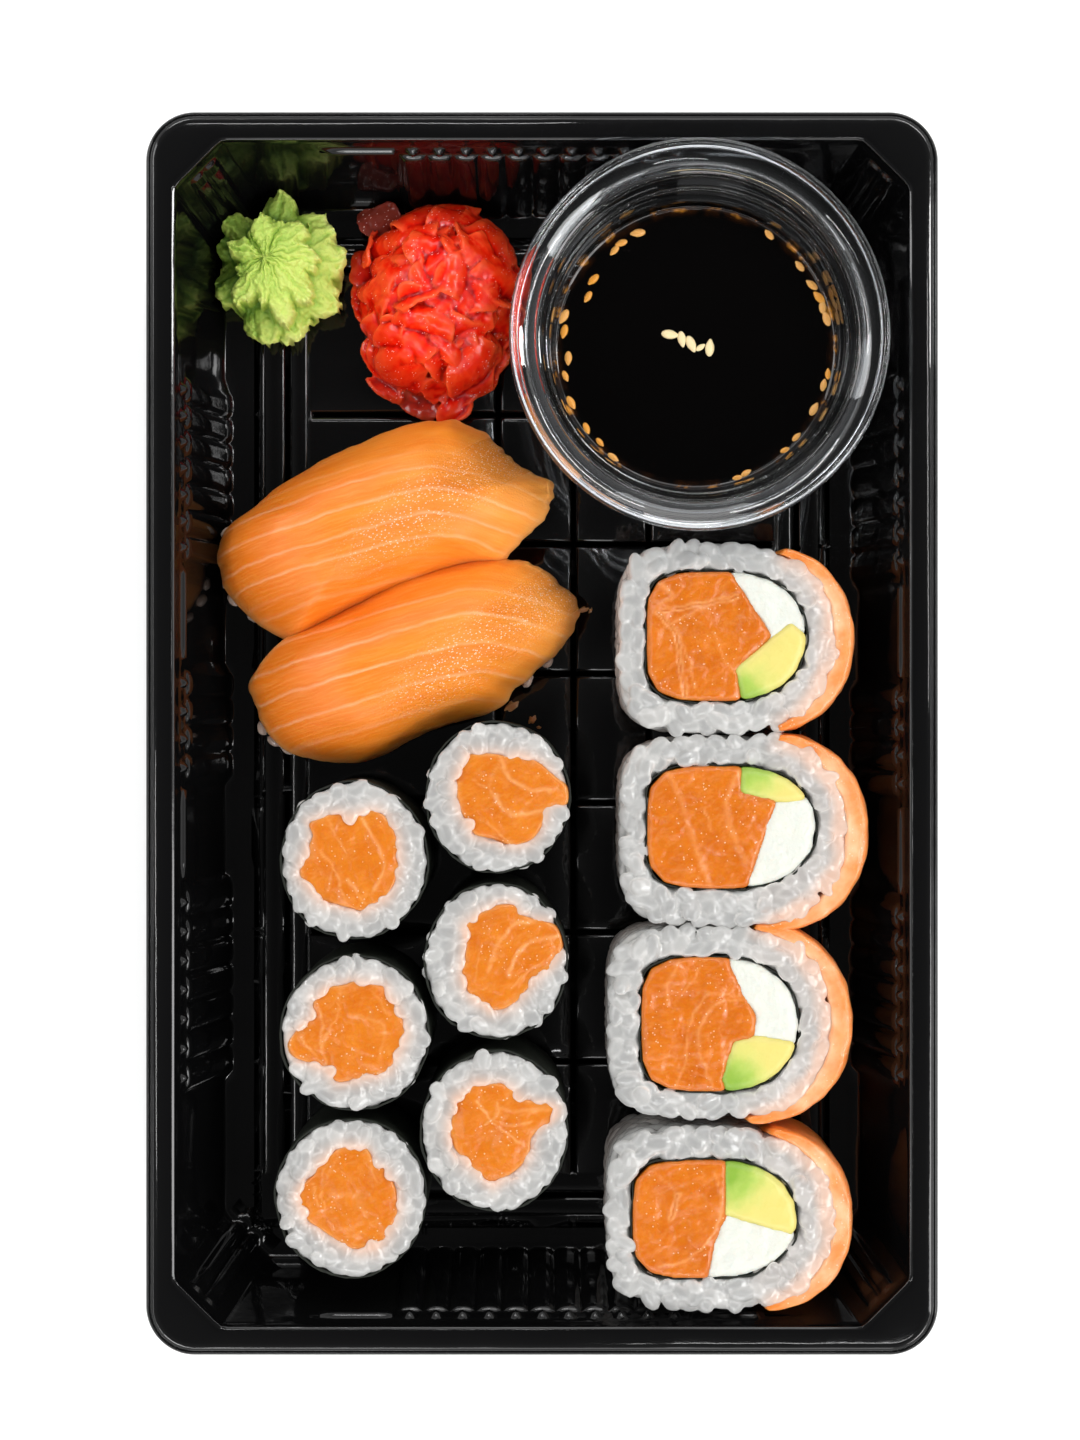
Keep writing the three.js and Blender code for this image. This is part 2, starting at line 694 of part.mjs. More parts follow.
function makeUramaki(roll, number) {
  const random = seeded(200 + number);
  const grain = () => (random() - 0.5) * 2 * GRAIN.relief;
  const course = (inset, relief, z) => atHeight(
    rollOutline(roll.x, roll.y, roll.halfX - inset, roll.halfY - inset, ROLL_SIDES, relief), z,
  );
  const { x: noriX, y: noriY, halfX: noriHalfX, halfY: noriHalfY } = roll.nori;
  const hole = (grow, z) => atHeight(
    rollOutline(noriX, noriY, noriHalfX + grow, noriHalfY + grow, ROLL_SIDES), z,
  );

  const courses = spread(0, 1, GRAIN.courses).map((share, i) => {
    const inset = i === 0 || i === GRAIN.courses - 1 ? 0.8 : 0;
    return course(inset, grain, between(FOOD_BOTTOM, ROLL_TOP - 0.6, share));
  });
  const rice = skin([
    ...courses,
    course(2.6, undefined, () => ROLL_TOP + 0.2 + grain()),
    hole(GAP, ROLL_TOP - 0.3),
    hole(GAP, FOOD_BOTTOM),
  ], 'joined');
  add(`uramaki_${number}_rice`, settled(rice, roll), COLOUR.rice, 0.45);

  const nori = skin([
    hole(0, FOOD_BOTTOM),
    hole(0, ROLL_TOP),
    hole(-NORI, ROLL_TOP),
    hole(-NORI, FOOD_BOTTOM),
  ], 'joined');
  add(`uramaki_${number}_nori`, settled(nori, roll), COLOUR.nori, 0.6);

  makeFilling(roll, number);
  makeSlice(roll, number);
}

// The filling inside the nori: salmon left of a split line, an avocado stick, and cream cheese in
// what is left. Each runs through the whole roll.
function makeFilling(roll, number) {
  const top = ROLL_TOP;
  const inset = NORI + GAP;
  const { x: noriX, y: noriY, halfX: noriHalfX, halfY: noriHalfY } = roll.nori;
  const outline = rollOutline(noriX, noriY, noriHalfX - inset, noriHalfY - inset, ROLL_SIDES);
  const inside = (height) => toSolid(prism(outline, FOOD_BOTTOM, height));
  const far = noriX - 60;
  const left = [[far, roll.split[0][1]], ...roll.split, [far, roll.split.at(-1)[1]]];
  const cutter = (corners, shift) => toSolid(prism(corners.map(([x, y]) => [x + shift, y]), -5, 60));
  const grown = (corners) => {
    const middleX = corners.reduce((sum, [x]) => sum + x, 0) / corners.length;
    const middleY = corners.reduce((sum, [, y]) => sum + y, 0) / corners.length;
    return corners.map(([x, y]) => {
      const length = Math.hypot(x - middleX, y - middleY);
      const reach = (length + GAP * 1.6) / length;
      return [middleX + (x - middleX) * reach, middleY + (y - middleY) * reach];
    });
  };
  const avocado = roll.avocado;
  const salmonPart = inside(top + 0.2).intersect(cutter(left, 0)).subtract(cutter(grown(avocado), 0));
  const avocadoPart = inside(top + 0.4).intersect(cutter(avocado, 0));
  const cheesePart = inside(top).subtract(cutter(left, GAP)).subtract(cutter(grown(avocado), 0));
  add(`uramaki_${number}_salmon`, settled(toGeometry(largest(salmonPart)), roll), COLOUR.salmon, 0.35);
  add(`uramaki_${number}_avocado`, settled(toGeometry(largest(avocadoPart)), roll), COLOUR.avocado, 0.45);
  add(`uramaki_${number}_cream_cheese`, settled(toGeometry(largest(cheesePart)), roll), COLOUR.cheese, 0.5);
}

// The biggest of the separate bodies that a cut can leave.
function largest(solid) {
  return solid.decompose().reduce((best, piece) => (piece.volume() > best.volume() ? piece : best));
}

// A slice of salmon laid round the roll's right side, thickest in the middle.
function makeSlice(roll, number) {
  const clear = GRAIN.relief + GAP;
  const sections = 13;
  const at = (degrees, beyond, z) => [
    ...rollPoint(radians(degrees), roll.x, roll.y, roll.halfX + beyond, roll.halfY + beyond),
    z,
  ];
  const rings = spread(roll.drape.from, roll.drape.to, sections).map((degrees, i) => {
    const share = i / (sections - 1);
    const thick = roll.drape.thick * Math.sin(Math.PI * between(0.08, 0.92, share)) ** 0.7;
    const low = FOOD_BOTTOM + 0.8 + 0.6 * Math.sin(i * 1.7);
    const high = ROLL_TOP - 0.5 + 0.4 * Math.sin(i * 1.3 + number);
    return [
      at(degrees, clear, low),
      at(degrees, clear, high),
      at(degrees, clear + thick * 0.75, high),
      at(degrees, clear + thick, high - 1.6),
      at(degrees, clear + thick, low + 1.5),
      at(degrees, clear + thick * 0.8, low),
    ];
  });
  add(`uramaki_${number}_salmon_slice`, settled(lofted(rings), roll), COLOUR.slice, 0.35);
}

// A strip through equal sections, closed with a fan at each end. The sections run clockwise seen
// along the strip.
function lofted(sections) {
  const count = sections[0].length;
  const faces = [];
  for (let s = 0; s < sections.length - 1; s += 1) {
    const near = s * count;
    const far = near + count;
    for (let i = 0; i < count; i += 1) {
      const j = (i + 1) % count;
      faces.push([near + i, far + j, near + j], [near + i, far + i, far + j]);
    }
  }
  const last = (sections.length - 1) * count;
  for (let i = 1; i < count - 1; i += 1) {
    faces.push([0, i, i + 1], [last, last + i + 1, last + i]);
  }
  const flipped = volumeOf(sections.flat(), faces) < 0;
  return faceted(sections.flat(), flipped ? faces.map(([a, b, c]) => [a, c, b]) : faces);
}

function volumeOf(vertices, faces) {
  return faces.reduce((sum, face) => {
    const [a, b, c] = face.map((index) => new THREE.Vector3(...vertices[index]));
    return sum + a.dot(b.cross(c)) / 6;
  }, 0);
}

// ---------------------------------------------------------------- nigiri

// A point over the nigiri's plan: 'reach' runs from the middle (0) to the edge (1).
function nigiriPoint(nigiri, degrees, reach, z, inset) {
  const { halfLength, halfWidth } = nigiri;
  const outline = roundedBox(radians(degrees), halfLength - inset, halfWidth - inset, SLICE.squareness);
  const [along, across] = outline.map((value) => value * reach);
  const slant = along > 0 ? SLICE.slant * across * (along / halfLength) ** 2 : 0;
  const turn = radians(NIGIRI_TURN);
  const u = along - slant;
  return [
    nigiri.x + u * Math.cos(turn) - across * Math.sin(turn),
    nigiri.y + u * Math.sin(turn) + across * Math.cos(turn),
    z,
  ];
}

function makeNigiri(nigiri, number) {
  const random = seeded(300 + number);
  const angles = Array.from({ length: SLICE.sides }, (_, i) => (i / SLICE.sides) * 360);
  // The slice arches over the rice: its edge hangs lower on the long sides than at the ends.
  const edgeZ = (degrees) => between(SLICE.sideZ, SLICE.endZ, Math.cos(radians(degrees)) ** 2);
  const arch = (degrees, reach, top, lift) => {
    const low = edgeZ(degrees) + lift;
    return low + (top - low) * (1 - reach ** 2.6) ** (1 / 1.7);
  };
  const ring = (reach, top, inset, lift) => angles.map((degrees) => nigiriPoint(
    nigiri, degrees, reach, arch(degrees, reach, top, lift), inset,
  ));
  const under = nigiri.top - SLICE.thick;
  const slice = [
    ...[0.3, 0.66, 0.92, 1].map((reach) => ring(reach, under, SLICE.edgeThick, 0)),
    ...[1, 0.95, 0.84, 0.62, 0.3].map((reach) => ring(reach, nigiri.top, 0, 0.4)),
  ];
  add(`nigiri_${number}_salmon`, skin(slice), COLOUR.slice, 0.35);

  const riceInset = SLICE.edgeThick + GAP * 2;
  const grain = () => (random() - 1) * 0.5;
  const riceAngles = angles.filter((_, i) => i % 2 === 0);
  const riceRing = (reach, z, spreadZ) => riceAngles.map((degrees) => nigiriPoint(
    nigiri, degrees, reach, z + random() * spreadZ, riceInset - grain(),
  ));
  const riceTop = under - GAP * 3;
  const riceArch = (reach) => riceTop * (1 - reach ** 3) ** (1 / 1.7);
  add(`nigiri_${number}_rice`, skin([
    riceRing(0.9, FOOD_BOTTOM, 0),
    riceRing(0.98, FOOD_BOTTOM + 2.2, 0.5),
    riceRing(0.93, Math.max(riceArch(0.95), 7), 0.4),
    riceRing(0.78, riceArch(0.84) - 0.8, 0),
    riceRing(0.45, riceArch(0.62) - 0.6, 0),
  ]), COLOUR.rice, 0.45);
}

// ---------------------------------------------------------------- wasabi and ginger

// A piped rosette whose ridges wind round towards the tip.
function makeWasabi() {
  const { x, y, radius, height, lobes, sides } = WASABI;
  const random = seeded(41);
  const uneven = Array.from({ length: lobes }, () => between(0.9, 1.08, random()));
  // 'reach' and 'z' are shares of the radius and the height, 'ridge' is how deep the ridges are cut.
  const levels = [
    { reach: 0.8, z: 0, ridge: 0.06, twist: 0 },
    { reach: 0.97, z: 0.16, ridge: 0.1, twist: 0.02 },
    { reach: 1.0, z: 0.34, ridge: 0.14, twist: 0.06 },
    { reach: 0.86, z: 0.58, ridge: 0.17, twist: 0.14 },
    { reach: 0.62, z: 0.79, ridge: 0.2, twist: 0.26 },
    { reach: 0.34, z: 0.93, ridge: 0.2, twist: 0.42 },
  ];
  const rings = levels.map(({ reach, z, ridge, twist }) => Array.from({ length: sides }, (_, i) => {
    const angle = (i / sides) * 2 * Math.PI;
    const lobe = uneven[Math.floor((i * lobes) / sides)];
    const wave = 1 + ridge * Math.cos(lobes * angle);
    const reachHere = radius * reach * wave * between(1, lobe, 0.7);
    const turned = angle + twist * 1.6;
    return [x + reachHere * Math.cos(turned), y + reachHere * Math.sin(turned), FOOD_BOTTOM + z * height];
  }));
  add('wasabi', dome(rings, [x, y, FOOD_BOTTOM + height]), COLOUR.wasabi, 0.7);
}

// A thin wavy slice, both faces divided alike, bent over the heap.
function gingerSlice(length, width, curl, wave) {
  const steps = 3;
  const rows = spread(-1, 1, steps + 1);
  const columns = [-1, 0, 1];
  const face = (offset) => rows.flatMap((row) => columns.map((column) => {
    const angle = row * curl;
    const radius = length / (2 * curl);
    const ruffle = wave * Math.sin(row * 2.6 + column * 1.8) + 0.8 * column * column;
    return [
      (radius + offset) * Math.sin(angle),
      (column * width * (1 - 0.3 * row * row)) / 2,
      (radius + offset) * Math.cos(angle) - radius + ruffle,
    ];
  }));
  const vertices = [...face(0), ...face(GINGER.sliceThick)];
  const across = columns.length;
  const half = rows.length * across;
  const faces = [];
  for (let r = 0; r < steps; r += 1) {
    for (let c = 0; c < across - 1; c += 1) {
      const a = r * across + c;
      const b = a + across;
      faces.push([a, a + 1, b + 1], [a, b + 1, b]);
      faces.push([a + half, b + half + 1, a + half + 1], [a + half, b + half, b + half + 1]);
    }
  }
  const border = [];
  const last = steps * across;
  for (let c = 0; c < across - 1; c += 1) border.push([c, c + 1]);
  for (let r = 1; r <= steps; r += 1) border.push([r * across - 1, (r + 1) * across - 1]);
  for (let c = across - 1; c > 0; c -= 1) border.push([last + c, last + c - 1]);
  for (let r = steps; r > 0; r -= 1) border.push([r * across, (r - 1) * across]);
  border.forEach(([a, b]) => faces.push([a, b + half, b], [a, a + half, b + half]));
  const flipped = volumeOf(vertices, faces) < 0;
  return faceted(vertices, flipped ? faces.map(([a, b, c]) => [a, c, b]) : faces);
}

function makeGinger() {
  const { x, y, halfX, halfY, height, slices } = GINGER;
  const random = seeded(57);
  // The heap's core: each pair is a share of its half sizes and of its height.
  const rings = [[0.86, 0], [1, 0.22], [0.86, 0.52], [0.56, 0.8]].map(([reach, z]) => atHeight(
    ovalOutline(x, y, halfX * reach, halfY * reach, 14, () => (random() - 0.5) * 1.8),
    FOOD_BOTTOM + z * height,
  ));
  const core = dome(rings, [x, y, FOOD_BOTTOM + height * 0.92]);
  const golden = Math.PI * (3 - Math.sqrt(5));
  const pieces = Array.from({ length: slices }, (_, i) => {
    const reach = Math.sqrt((i + 0.4) / slices);
    const angle = i * golden + 0.6;
    const [length, width, curl] = [[12, 16], [7, 10], [0.6, 1.1]].map(([low, high]) => (
      between(low, high, random())
    ));
    const slice = gingerSlice(length, width, curl, 0.8);
    slice.rotateX(between(-0.3, 0.3, random()));
    slice.rotateZ(angle + between(1.0, 2.0, random()));
    const lean = reach * 0.9;
    slice.applyMatrix4(new THREE.Matrix4().makeRotationAxis(
      new THREE.Vector3(-Math.sin(angle), Math.cos(angle), 0), lean,
    ));
    return slice.translate(
      x + halfX * 0.92 * reach * Math.cos(angle),
      y + halfY * 0.95 * reach * Math.sin(angle),
      FOOD_BOTTOM + between(height - 0.6, 4.6, reach ** 2.2),
    );
  });
  const heap = joined([core, ...pieces]);
  add('pickled_ginger', toGeometry(largest(heap)), COLOUR.ginger, 0.4);
}

// ---------------------------------------------------------------- assembly

makeTray();
makeCup();
makeSoy();
makeWasabi();
makeGinger();
NIGIRI.forEach((nigiri, i) => makeNigiri(nigiri, i + 1));
MAKI.forEach((roll, i) => makeMaki(roll, i + 1));
URAMAKI.forEach((roll, i) => makeUramaki(roll, i + 1));

export default sushiTray;
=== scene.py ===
"""A takeaway sushi tray: a black formed tray with nigiri, maki, uramaki, wasabi, ginger and soy sauce.

Lengths are in millimetres until a mesh is written, X runs across the tray and Y along it.
"""

import logging
import math
from collections.abc import Callable, Sequence
from dataclasses import dataclass
from enum import Enum

import bpy
import numpy as np
from mathutils.kdtree import KDTree
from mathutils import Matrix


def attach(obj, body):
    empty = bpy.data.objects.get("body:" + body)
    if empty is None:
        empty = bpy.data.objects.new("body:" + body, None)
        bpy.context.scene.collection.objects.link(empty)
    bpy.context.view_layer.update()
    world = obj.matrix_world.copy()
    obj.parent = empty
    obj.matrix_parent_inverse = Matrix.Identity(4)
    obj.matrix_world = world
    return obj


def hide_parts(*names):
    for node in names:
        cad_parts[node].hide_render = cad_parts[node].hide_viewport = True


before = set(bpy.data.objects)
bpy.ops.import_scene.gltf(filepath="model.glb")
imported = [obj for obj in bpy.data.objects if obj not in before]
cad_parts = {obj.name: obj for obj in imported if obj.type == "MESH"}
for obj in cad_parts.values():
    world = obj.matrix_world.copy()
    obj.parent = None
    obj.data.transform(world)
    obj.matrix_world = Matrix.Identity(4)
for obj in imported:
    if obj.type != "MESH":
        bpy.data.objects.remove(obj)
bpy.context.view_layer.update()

MM = 0.001
FLOOR_TOP = 1.0
FOOD_BOTTOM = 1.3
ROLL_TOP = 26.0
FULL_TURN = 2 * math.pi
GOLDEN_ANGLE = math.pi * (3 - math.sqrt(5))
LOG = logging.getLogger("sushi_tray")

Array = np.ndarray
Triple = tuple[float, float, float]
Colour = Triple
Corners = Sequence[tuple[float, float]]
Item = bpy.types.Object
Lines = Sequence[tuple[Corners, float, float]]
Pair = tuple[float, float]
Random = np.random.Generator
Socket = bpy.types.NodeSocket


class Slot(Enum):
    """Material slots of the record."""

    TRAY = "tray_plastic"
    CUP = "cup_plastic"
    SOY = "soy_sauce"
    SESAME = "sesame"
    WASABI = "wasabi"
    GINGER = "pickled_ginger"
    RICE = "rice"
    NORI = "nori"
    SALMON = "salmon"
    CHEESE = "cream_cheese"
    AVOCADO = "avocado"


# ---------------------------------------------------------------- modelling tools


def activate(item: Item) -> None:
    """Makes one object the only selected and the active one.

    Args:
        item: the object.
    """
    bpy.ops.object.select_all(action="DESELECT")
    item.select_set(True)
    bpy.context.view_layer.objects.active = item


def points_of(item: Item) -> Array:
    """Reads the vertices of a mesh.

    Args:
        item: the mesh object.

    Returns:
        One place in millimetres for each vertex.
    """
    flat = np.empty(len(item.data.vertices) * 3)
    item.data.vertices.foreach_get("co", flat)
    return flat.reshape(-1, 3) / MM


def shape(item: Item, points: Array) -> None:
    """Moves the vertices of a mesh to the given places.

    Args:
        item: the mesh object.
        points: one place in millimetres for each vertex.
    """
    item.data.vertices.foreach_set("co", (points * MM).astype(np.float32).ravel())
    item.data.update()


def normals_of(item: Item) -> Array:
    """Reads the directions that a mesh faces.

    Args:
        item: the mesh object.

    Returns:
        One unit normal for each vertex.
    """
    flat = np.empty(len(item.data.vertices) * 3)
    item.data.vertex_normals.foreach_get("vector", flat)
    return flat.reshape(-1, 3)


def grid(name: str, columns: int, rows: int) -> tuple[Item, Array, Array]:
    """Adds a flat grid to be shaped.

    Args:
        name: the piece's name.
        columns: faces along u.
        rows: faces along v.

    Returns:
        The object, and u and v of each vertex from 0 to 1.
    """
    bpy.ops.object.select_all(action="DESELECT")
    bpy.ops.mesh.primitive_grid_add(x_subdivisions=columns, y_subdivisions=rows, size=2)
    item = bpy.context.object
    item.name = item.data.name = name
    flat = points_of(item) * MM
    return item, (flat[:, 0] + 1) / 2, (flat[:, 1] + 1) / 2


def small_ball() -> tuple[Item, Array]:
    """Adds a coarse ball, from which a grain or a seed is shaped.

    Returns:
        The object, and its vertices on a ball of radius 1.
    """
    bpy.ops.object.select_all(action="DESELECT")
    bpy.ops.mesh.primitive_uv_sphere_add(segments=10, ring_count=7, radius=1)
    return bpy.context.object, points_of(bpy.context.object) * MM


def edit(item: Item, *steps: Callable[[], object]) -> None:
    """Runs edit-mode operators on the whole of a mesh.

    Args:
        item: the mesh object.
        steps: calls made in edit mode with everything selected.
    """
    activate(item)
    bpy.ops.object.mode_set(mode="EDIT")
    bpy.ops.mesh.select_all(action="SELECT")
    for step in steps:
        step()
    bpy.ops.object.mode_set(mode="OBJECT")


def close_seams(item: Item, distance: float = 0.004) -> Item:
    """Merges the vertices of seams and poles and turns all faces outwards.

    Args:
        item: the mesh object.
        distance: vertices closer than this are merged.

    Returns:
        The same object.
    """
    edit(
        item,
        lambda: bpy.ops.mesh.remove_doubles(threshold=distance * MM),
        lambda: bpy.ops.mesh.normals_make_consistent(inside=False),
    )
    return item


def finish_with(item: Item, kind: str, **settings: object) -> Item:
    """Adds a modifier and applies it.

    Args:
        item: the mesh object.
        kind: the modifier's type.
        settings: the modifier's values.

    Returns:
        The same object.
    """
    modifier = item.modifiers.new(kind.title(), kind)
    for key, value in settings.items():
        setattr(modifier, key, value)
    activate(item)
    bpy.ops.object.modifier_apply(modifier=modifier.name)
    return item


def one_skin(item: Item, voxel: float, rounds: int) -> Item:
    """Melts touching bodies into one skin and softens it.

    Args:
        item: the mesh object.
        voxel: size of the skin's faces.
        rounds: how many times it is softened.

    Returns:
        The same object.
    """
    finish_with(item, "REMESH", mode="VOXEL", voxel_size=voxel * MM)
    return finish_with(item, "SMOOTH", factor=0.5, iterations=rounds)


def paint(item: Item, name: str, values: Array) -> None:
    """Writes one number for each vertex as an attribute that a finish reads.

    Args:
        item: the mesh object.
        name: the attribute's name.
        values: one number for each vertex, or one for all.
    """
    layer = item.data.attributes.new(name, "FLOAT", "POINT")
    values = np.zeros(len(item.data.vertices)) + values
    layer.data.foreach_set("value", values.astype(np.float32))


def joined(items: Sequence[Item], name: str) -> Item:
    """Joins several meshes into one.

    Args:
        items: the mesh objects.
        name: the name of the whole.

    Returns:
        The joined object.
    """
    activate(items[0])
    for item in items:
        item.select_set(True)
    bpy.ops.object.join()
    items[0].name = items[0].data.name = name
    return items[0]


def copy_of_solid(name: str, node: str) -> Item:
    """Makes a merged copy of a CAD solid, to be shaped further.

    Args:
        name: the copy's name.
        node: the CAD node.

    Returns:
        The copy.
    """
    item = bpy.data.objects.new(name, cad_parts[node].data.copy())
    bpy.context.scene.collection.objects.link(item)
    return close_seams(item)


def dress(item: Item, slot: Slot, finish: "Finish", *nodes: str) -> None:
    """Gives a finished mesh its finish and its place in the frame.

    Args:
        item: the mesh object.
        slot: the record's material slot; not used.
        finish: what the piece is made of.
        nodes: the CAD nodes that it stands for.
    """
    activate(item)
    bpy.ops.object.shade_smooth()
    item.data.materials.clear()
    item.data.materials.append(finish.material())
    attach(item, "root")
    if nodes:
        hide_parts(*nodes)
    LOG.info("%s: %d faces", item.name, len(item.data.polygons))


def smooth_step(low: float, high: float, value: Array) -> Array:
    """Climbs smoothly from 0 to 1.

    Args:
        low: the value where it leaves 0.
        high: the value where it reaches 1.
        value: where it is read.

    Returns:
        The share from 0 to 1.
    """
    share = np.clip((value - low) / (high - low), 0, 1)
    return share * share * (3 - 2 * share)


def ridge(gap: Array, width: float) -> Array:
    """Returns 1 on a line and less beside it, for gaps to the line and its half width."""
    return np.exp(-((gap / width) ** 2))


def even_angles(count: int) -> Array:
    """Returns angles spread evenly over a full turn."""
    return np.arange(count) / count * FULL_TURN


def around(middle: Pair, angle: Array, reach: tuple, z: float | Array) -> Array:
    """Places points round an upright axis.

    Args:
        middle: X and Y of the axis.
        angle: their directions in radians.
        reach: how far they lie from it along X and along Y.
        z: their height.

    Returns:
        The points.
    """
    x = middle[0] + reach[0] * np.cos(angle)
    y = middle[1] + reach[1] * np.sin(angle)
    return np.column_stack([x, y, np.zeros(len(angle)) + z])


def heading(angle: float, tilt: float) -> Array:
    """Returns the unit direction of an angle in the plan, tilted up by another."""
    level = math.cos(tilt)
    return np.array([math.cos(angle) * level, math.sin(angle) * level, math.sin(tilt)])


@dataclass(frozen=True)
class Ripple:
    """Smooth seeded unevenness, made of plane waves in random directions.

    Attributes:
        size: usual distance from crest to crest.
        seed: start of the random draws.
        waves: how many plane waves are added up.
    """

    size: float
    seed: int
    waves: int = 16

    def at(self, points: Array) -> Array:
        """Reads the unevenness at some places.

        Args:
            points: the places.

        Returns:
            Numbers that are mostly between -1 and 1.
        """
        random = np.random.default_rng(self.seed)
        directions = random.normal(size=(self.waves, 3))
        directions /= np.linalg.norm(directions, axis=1)[:, None]
        lengths = self.size * random.uniform(0.7, 1.6, self.waves)
        phases = random.uniform(0, FULL_TURN, self.waves)
        turns = points @ (directions * (FULL_TURN / lengths)[:, None]).T + phases
        return np.sin(turns).sum(axis=1) / math.sqrt(2 * self.waves)


def shaken(points: Array, amount: float, size: float, seed: int, axes: int = 3) -> Array:
    """Moves points unevenly, along each axis by a ripple of its own.

    Args:
        points: the places.
        amount: how far they move.
        size: usual distance from crest to crest.
        seed: the first ripple's seed.
        axes: how many axes they move along.

    Returns:
        The moved points.
    """
    moves = [Ripple(size, seed + axis).at(points) for axis in range(axes)]
    moves += [np.zeros(len(points))] * (3 - axes)
    return points + amount * np.column_stack(moves)


def along_normals(item: Item, amount: Array) -> None:
    """Moves each vertex along its normal.

    Args:
        item: the mesh object.
        amount: how far each vertex moves.
    """
    shape(item, points_of(item) + normals_of(item) * amount[:, None])


def standing_out(item: Item, rounds: int) -> Array:
    """Measures how far each vertex stands out of its surroundings.

    Args:
        item: the mesh object.
        rounds: how many times the surroundings are smoothed to compare with.

    Returns:
        One distance in millimetres for each vertex, less than 0 in hollows.
    """
    pairs = np.empty(len(item.data.edges) * 2, np.int32)
    item.data.edges.foreach_get("vertices", pairs)
    first, second = pairs.reshape(-1, 2).T
    points = points_of(item)
    count = len(points)
    neighbours = np.maximum(np.bincount(pairs, minlength=count), 1)[:, None]
    soft = points
    for _ in range(rounds):
        sums = [
            np.bincount(first, soft[second, axis], count) + np.bincount(second, soft[first, axis], count)
            for axis in range(3)
        ]
        soft = (soft + np.stack(sums, axis=1) / neighbours) / 2
    return ((points - soft) * normals_of(item)).sum(axis=1)


def tree_of(points: Sequence[Array]) -> KDTree:
    """Sorts points, so that the nearest of them are found fast.

    Args:
        points: the places.

    Returns:
        The tree that finds them.
    """
    tree = KDTree(len(points))
    for number, point in enumerate(points):
        tree.insert(point, number)
    tree.balance()
    return tree


def rounded_line(corners: Corners, closed: bool, steps: int) -> Array:
    """Rounds a line of corners with a curve through all of them.

    Args:
        corners: the corners in order.
        closed: whether the last corner leads back to the first.
        steps: points for each stretch between two corners.

    Returns:
        The points of the curve.
    """
    given = np.array(corners, float)
    if closed:
        padded = np.vstack([given[-1], given, given[0], given[1]])
    else:
        padded = np.vstack([2 * given[0] - given[1], given, 2 * given[-1] - given[-2]])
    made = []
    for p0, p1, p2, p3 in zip(padded[:-3], padded[1:-2], padded[2:-1], padded[3:]):
        for share in np.arange(steps) / steps:
            square = (2 * p0 - 5 * p1 + 4 * p2 - p3) * share**2
            cube = (3 * p1 - p0 - 3 * p2 + p3) * share**3
            made.append(0.5 * (2 * p1 + (p2 - p0) * share + square + cube))
    if not closed:
        made.append(given[-1])
    return np.array(made)


def distance_to_line(points: Array, line: Array) -> Array:
    """Measures how far points lie from a line, seen from above.

    Args:
        points: the places.
        line: X and Y of the line's corners.

    Returns:
        One distance for each point.
    """
    nearest = np.full(len(points), np.inf)
    for start, end in zip(line[:-1], line[1:]):
        step = end - start
        share = np.clip(((points[:, :2] - start) @ step) / (step @ step), 0, 1)
        gap = np.linalg.norm(points[:, :2] - start - share[:, None] * step, axis=1)
        nearest = np.minimum(nearest, gap)
    return nearest


def distance_to_curve(points: Array, corners: Corners) -> Array:
    """Returns how far points lie from a rounded line through some corners, seen from above."""
    return distance_to_line(points, rounded_line(corners, False, 6))


def fat_lines(points: Array, lines: Lines) -> Array:
    """Lays lines of fat over a piece of salmon.

    Args:
        points: the vertices.
        lines: each line's corners, half width and strength.

    Returns:
        How fat each vertex is, from 0 to 1.
    """
    fat = np.zeros(len(points))
    for corners, width, strength in lines:
        fat = np.maximum(fat, strength * ridge(distance_to_curve(points, corners), width))
    return fat


# ---------------------------------------------------------------- finishes


def lay_stops(ramp: bpy.types.ColorRamp, stops: Sequence[tuple[float, Colour | float]]) -> None:
    """Sets the stops of a colour ramp.

    Args:
        ramp: the ramp.
        stops: each stop's place and its colour or grey.
    """
    while len(ramp.elements) < len(stops):
        ramp.elements.new(1.0)
    for element, (at, value) in zip(ramp.elements, stops):
        element.position = at
        tone = value if isinstance(value, tuple) else (value,) * 3
        element.color = (*tone, 1)


